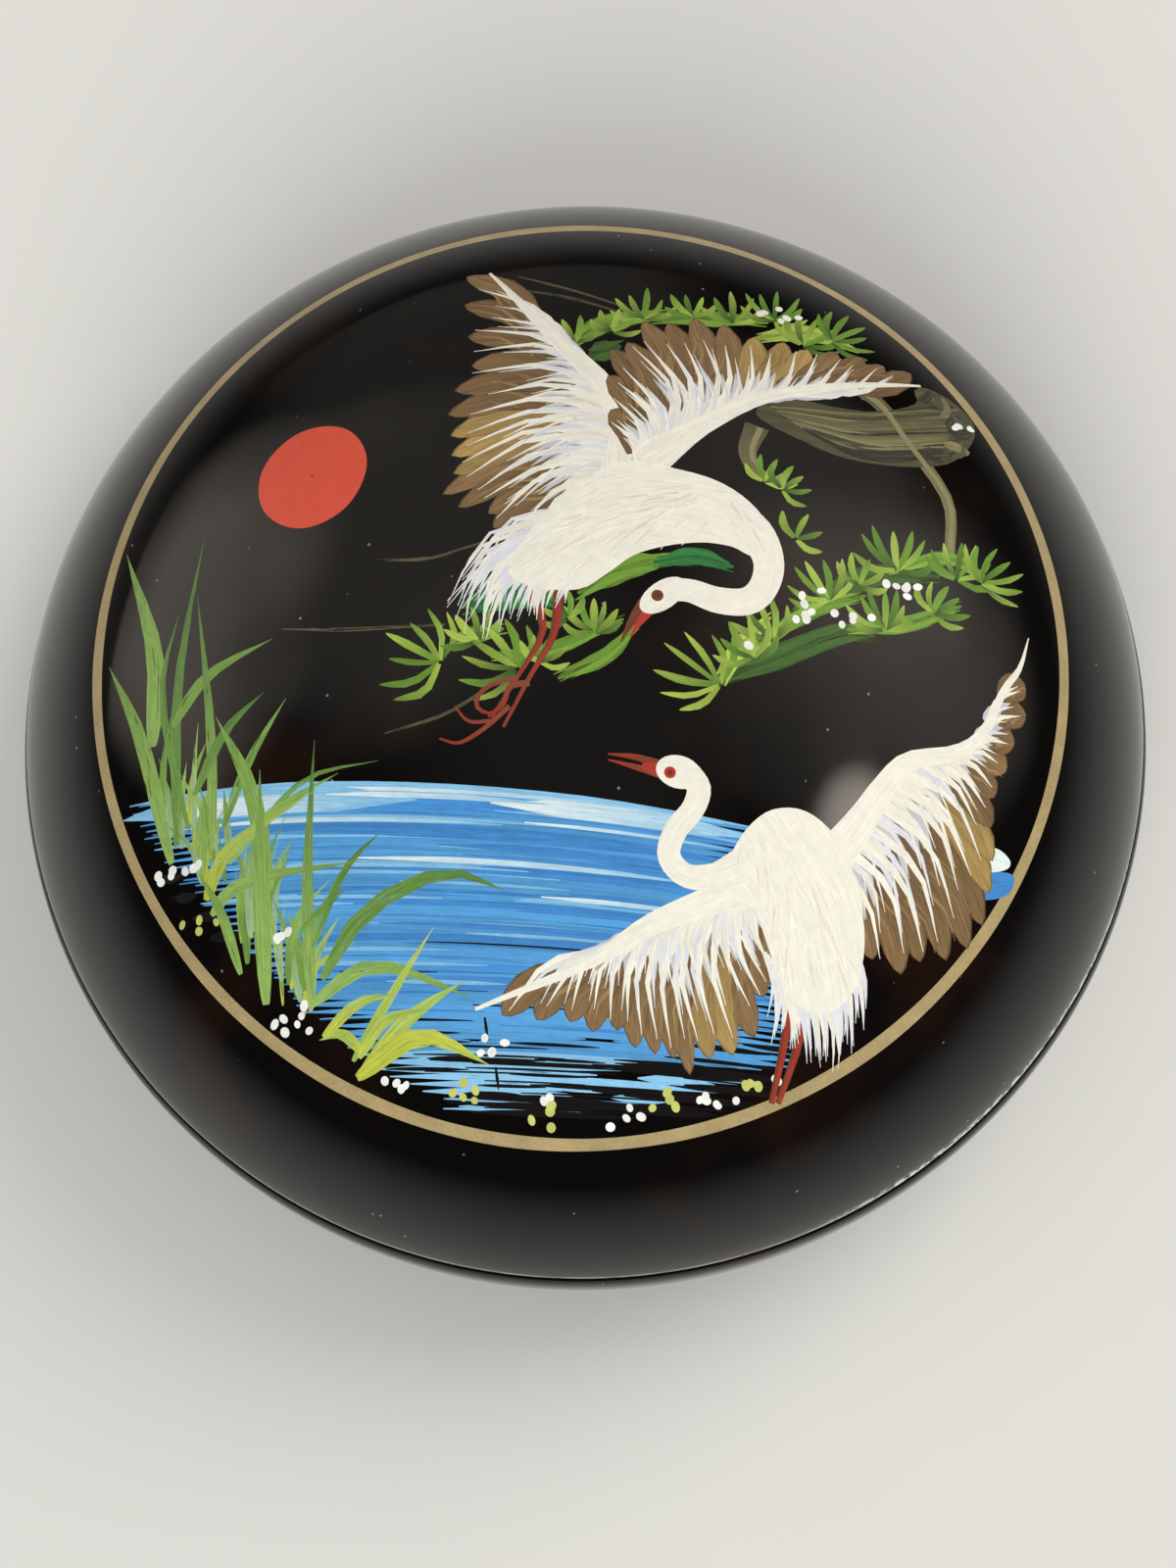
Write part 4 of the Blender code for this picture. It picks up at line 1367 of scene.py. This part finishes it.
def gloss_lacquer(name):
    """Plain black gloss lacquer, with dust and a slight unevenness."""
    material, nodes, shader, place = new_finish(name)
    nodes.tree.links.new(black_lacquer(nodes, place), shader.inputs["Base Color"])
    polish = nodes.spread(nodes.noise(place, 90.0, 4.0, 0.6), 0.3, 0.7, 0.06, 0.12)
    nodes.tree.links.new(polish, shader.inputs["Roughness"])
    waves = nodes.add("ShaderNodeBump", {"Height": nodes.noise(place, 75.0, 2.0, 0.5), "Strength": 0.5,
                                         "Distance": 0.0001})
    nodes.tree.links.new(waves.outputs[0], shader.inputs["Normal"])
    return material


def satin_lacquer(name):
    """Black lacquer brushed on more thinly, as inside the box and under it."""
    material, nodes, shader, place = new_finish(name)
    streaks = nodes.noise(nodes.stretch(place, 1.0, 6.0, 6.0), 160.0, 4.0, 0.6)
    lacquer = nodes.mix(streaks, (0.006, 0.005, 0.0045, 1), (0.016, 0.012, 0.009, 1))
    nodes.tree.links.new(lacquer, shader.inputs["Base Color"])
    nodes.tree.links.new(nodes.spread(streaks, 0.3, 0.7, 0.26, 0.42), shader.inputs["Roughness"])
    waves = nodes.add("ShaderNodeBump", {"Height": streaks, "Strength": 0.35, "Distance": 0.0001})
    nodes.tree.links.new(waves.outputs[0], shader.inputs["Normal"])
    return material


def pale_table(view):
    """Matt pale table top, painted darker with distance from the box where the lid mirrors it."""
    material, nodes, shader, place = new_finish("pale_table")
    mottle = nodes.noise(place, 9.0, 4.0, 0.6)
    shade = nodes.spread(mottle, 0.3, 0.7, 0.985, 1.0)
    # Painted shade in the table's reflection: for mirrored rays only, its colour darkens with distance from
    # the box and is lifted a little above its own colour close to the box.
    reach = nodes.add("ShaderNodeVectorMath", {0: place}, operation="LENGTH").outputs["Value"]
    away = nodes.math("DIVIDE", reach, TABLE_FADE)
    painted_mirror_shade = nodes.math("DIVIDE", 1.15, nodes.math("ADD", 1.0, nodes.math("MULTIPLY", away, away)))
    mirrored = nodes.add("ShaderNodeLightPath").outputs["Is Glossy Ray"]
    painted_mirror_shade = nodes.add("ShaderNodeMix", {"Factor": mirrored, 2: 1.0, 3: painted_mirror_shade}).outputs[0]
    colour = nodes.mix(1.0, rgba(view.table), nodes.grey(nodes.math("MULTIPLY", shade, painted_mirror_shade)), "MULTIPLY")
    nodes.tree.links.new(colour, shader.inputs["Base Color"])
    shader.inputs["Roughness"].default_value = 0.75
    return material


# Table, light and camera

# What the gloss mirrors: soft lights of a dim room, each with its direction and brightness
ROOM_DIMNESS = 0.03
ROOM_LIGHTS = (
    ((-0.80, 0.45, 0.36), 1.25),
    ((0.66, 0.17, 0.73), 0.45),
    ((0.80, 0.20, 0.56), 0.50),
    ((0.52, 0.57, 0.62), 0.45),
    ((-0.34, 0.52, 0.78), 0.38),
    ((-0.15, 0.95, 0.25), 0.18),
    ((0.0, 0.10, 1.0), 0.16),
)
ROOM_LIGHT_EDGE = math.cos(math.radians(30))
ROOM_LIGHT_CORE = math.cos(math.radians(10))

# How far the lights' edges waver
ROOM_UNEVENNESS = 0.12

# One small bright light, mirrored on the lid above this place
SMALL_LIGHT_PLACE = (0.0240, -0.0196)
SMALL_LIGHT_EDGE = math.cos(math.radians(9))
SMALL_LIGHT_BRIGHTNESS = 6.0

# Distance from the box at which the table's mirror image has faded to half
TABLE_FADE = 0.14
TABLE_REACH = 3.0


def mirror_way(sizes, camera_place, x, y):
    """The direction that the lid mirrors towards the camera at its point above (x, y)."""
    radius = math.hypot(x, y)
    height = sizes.lid_bottom + float(dome_height(radius, sizes.lid_radius, sizes.lid_rise))
    slope = float(dome_slope(np.array(radius), sizes.lid_radius, sizes.lid_rise))
    normal = Vector((slope * x / radius, slope * y / radius, 1.0)).normalized()
    point = Vector((x, y, height))
    sight = (point - camera_place).normalized()
    return sight - 2 * sight.dot(normal) * normal


def add_area_light(name, place, size, power, colour):
    """A round light that faces the box and isn't seen in its gloss."""
    light = bpy.data.lights.new(name, "AREA")
    light.shape = "DISK"
    light.size = size
    light.energy = power
    light.color = colour
    lamp = bpy.data.objects.new(name, light)
    lamp.location = place
    lamp.rotation_euler = (-Vector(place)).to_track_quat("-Z", "Y").to_euler()
    lamp.visible_glossy = False
    bpy.context.scene.collection.objects.link(lamp)


def camera_frame(sizes, view):
    """Place of the camera and its right, up and back directions."""
    seam = sizes.lid_bottom
    sight = Vector((0.0, math.cos(view.elevation), -math.sin(view.elevation)))
    level = Vector((1.0, 0.0, 0.0))
    upward = level.cross(sight)
    right = math.cos(view.roll) * level + math.sin(view.roll) * upward
    up = -math.sin(view.roll) * level + math.cos(view.roll) * upward
    place = Vector((0.0, view.aim_y, seam)) - view.distance * sight
    return place, right, up, -sight


def build_stage(sizes, view):
    """Pale table, soft studio light and the camera."""
    mesh = bpy.data.meshes.new("table")
    corners = [(TABLE_REACH * x, TABLE_REACH * y, 0.0) for x, y in ((-1, -1), (1, -1), (1, 1), (-1, 1))]
    mesh.from_pydata(corners, [], [(0, 1, 2, 3)])
    mesh.materials.append(pale_table(view))
    add_object("table", mesh)

    place, right, up, back = camera_frame(sizes, view)
    camera = bpy.data.cameras.new("camera")
    camera.sensor_width = 36.0
    camera.lens = view.lens
    camera.clip_start = 0.01
    viewer = bpy.data.objects.new("camera", camera)
    viewer.matrix_world = Matrix((
        (right.x, up.x, back.x, place.x),
        (right.y, up.y, back.y, place.y),
        (right.z, up.z, back.z, place.z),
        (0.0, 0.0, 0.0, 1.0),
    ))
    bpy.context.scene.collection.objects.link(viewer)
    bpy.context.scene.camera = viewer

    add_area_light("key_light", (1.45, 0.84, 1.45), 1.7, 23.0, (1.0, 0.985, 0.96))
    add_area_light("fill_light", (-0.3, -1.8, 1.2), 1.7, 32.0, (0.965, 1.0, 0.985))
    small_light = mirror_way(sizes, place, *SMALL_LIGHT_PLACE)

    world = bpy.data.worlds.new("studio")
    world.use_nodes = True
    nodes = Nodes(world.node_tree)
    ground = world.node_tree.nodes["Background"]
    ground.inputs["Color"].default_value = (0.93, 0.94, 0.95, 1)
    ground.inputs["Strength"].default_value = 0.50
    way = nodes.add("ShaderNodeTexCoord").outputs["Generated"]
    spot = nodes.add("ShaderNodeVectorMath", {0: way, 1: small_light},
                     operation="DOT_PRODUCT").outputs["Value"]
    spot = nodes.math("POWER", nodes.spread(spot, SMALL_LIGHT_EDGE, 1.0, 0.0, 1.0), 2.0)
    uneven = nodes.add("ShaderNodeTexNoise", {"Vector": way, "Scale": 2.2, "Detail": 1.0}).outputs["Color"]
    way = nodes.add("ShaderNodeVectorMath", {0: uneven, 1: [ROOM_UNEVENNESS] * 3, 2: way},
                    operation="MULTIPLY_ADD").outputs[0]
    way = nodes.add("ShaderNodeVectorMath", {0: way, 1: [ROOM_UNEVENNESS / 2] * 3},
                    operation="SUBTRACT").outputs[0]
    glow = ROOM_DIMNESS
    for direction, brightness in ROOM_LIGHTS:
        facing = nodes.add("ShaderNodeVectorMath", {0: way, 1: Vector(direction).normalized()},
                           operation="DOT_PRODUCT").outputs["Value"]
        patch = nodes.spread(facing, ROOM_LIGHT_EDGE, ROOM_LIGHT_CORE, 0.0, brightness)
        glow = nodes.math("ADD", patch, glow)
    glow = nodes.math("ADD", glow, nodes.math("MULTIPLY", spot, SMALL_LIGHT_BRIGHTNESS))
    room = nodes.add("ShaderNodeBackground", {"Color": (1.0, 0.90, 0.79, 1), "Strength": glow})
    ray = nodes.add("ShaderNodeLightPath")
    both = nodes.add("ShaderNodeMixShader", {0: ray.outputs["Is Glossy Ray"], 1: ground.outputs[0],
                                             2: room.outputs[0]})
    nodes.tree.links.new(both.outputs[0], world.node_tree.nodes["World Output"].inputs["Surface"])
    bpy.context.scene.world = world
    bpy.context.scene.view_settings.view_transform = "Standard"


# Operators, panel and registration


class TRINKETBOX_OT_base(bpy.types.Operator):
    """Turn the base with its floor, side, flange and foot ring"""

    bl_idname = "trinket_box.base"
    bl_label = "Turned Base"

    def execute(self, context):
        build_base(context.scene.trinket_box_sizes)
        return {"FINISHED"}


class TRINKETBOX_OT_lid(bpy.types.Operator):
    """Turn the domed lid and paint it"""

    bl_idname = "trinket_box.lid"
    bl_label = "Painted Lid"

    def execute(self, context):
        build_lid(context.scene.trinket_box_sizes, context.scene.trinket_box_painting)
        return {"FINISHED"}


class TRINKETBOX_OT_stage(bpy.types.Operator):
    """Set up the pale table, the light and the camera"""

    bl_idname = "trinket_box.stage"
    bl_label = "Table, Light and Camera"

    def execute(self, context):
        build_stage(context.scene.trinket_box_sizes, context.scene.trinket_box_view)
        return {"FINISHED"}


class TRINKETBOX_PT_panel(bpy.types.Panel):
    """Sizes, colours and the steps that build the box"""

    bl_label = "Trinket Box"
    bl_space_type = "VIEW_3D"
    bl_region_type = "UI"
    bl_category = "Trinket Box"

    def draw(self, context):
        layout = self.layout
        for operator in (TRINKETBOX_OT_stage, TRINKETBOX_OT_base, TRINKETBOX_OT_lid):
            layout.operator(operator.bl_idname)
        scene = context.scene
        for group in (scene.trinket_box_sizes, scene.trinket_box_painting, scene.trinket_box_view):
            box = layout.box()
            for name in group.__annotations__:
                box.prop(group, name)


CLASSES = (TrinketBoxSizes, TrinketBoxPainting, TrinketBoxView, TRINKETBOX_OT_base, TRINKETBOX_OT_lid,
           TRINKETBOX_OT_stage, TRINKETBOX_PT_panel)


def register():
    for item in CLASSES:
        bpy.utils.register_class(item)
    bpy.types.Scene.trinket_box_sizes = bpy.props.PointerProperty(type=TrinketBoxSizes)
    bpy.types.Scene.trinket_box_painting = bpy.props.PointerProperty(type=TrinketBoxPainting)
    bpy.types.Scene.trinket_box_view = bpy.props.PointerProperty(type=TrinketBoxView)


def unregister():
    del bpy.types.Scene.trinket_box_view
    del bpy.types.Scene.trinket_box_painting
    del bpy.types.Scene.trinket_box_sizes
    for item in reversed(CLASSES):
        bpy.utils.unregister_class(item)


def main():
    register()
    bpy.ops.trinket_box.stage()
    bpy.ops.trinket_box.base()
    bpy.ops.trinket_box.lid()


if __name__ == "__main__":
    main()
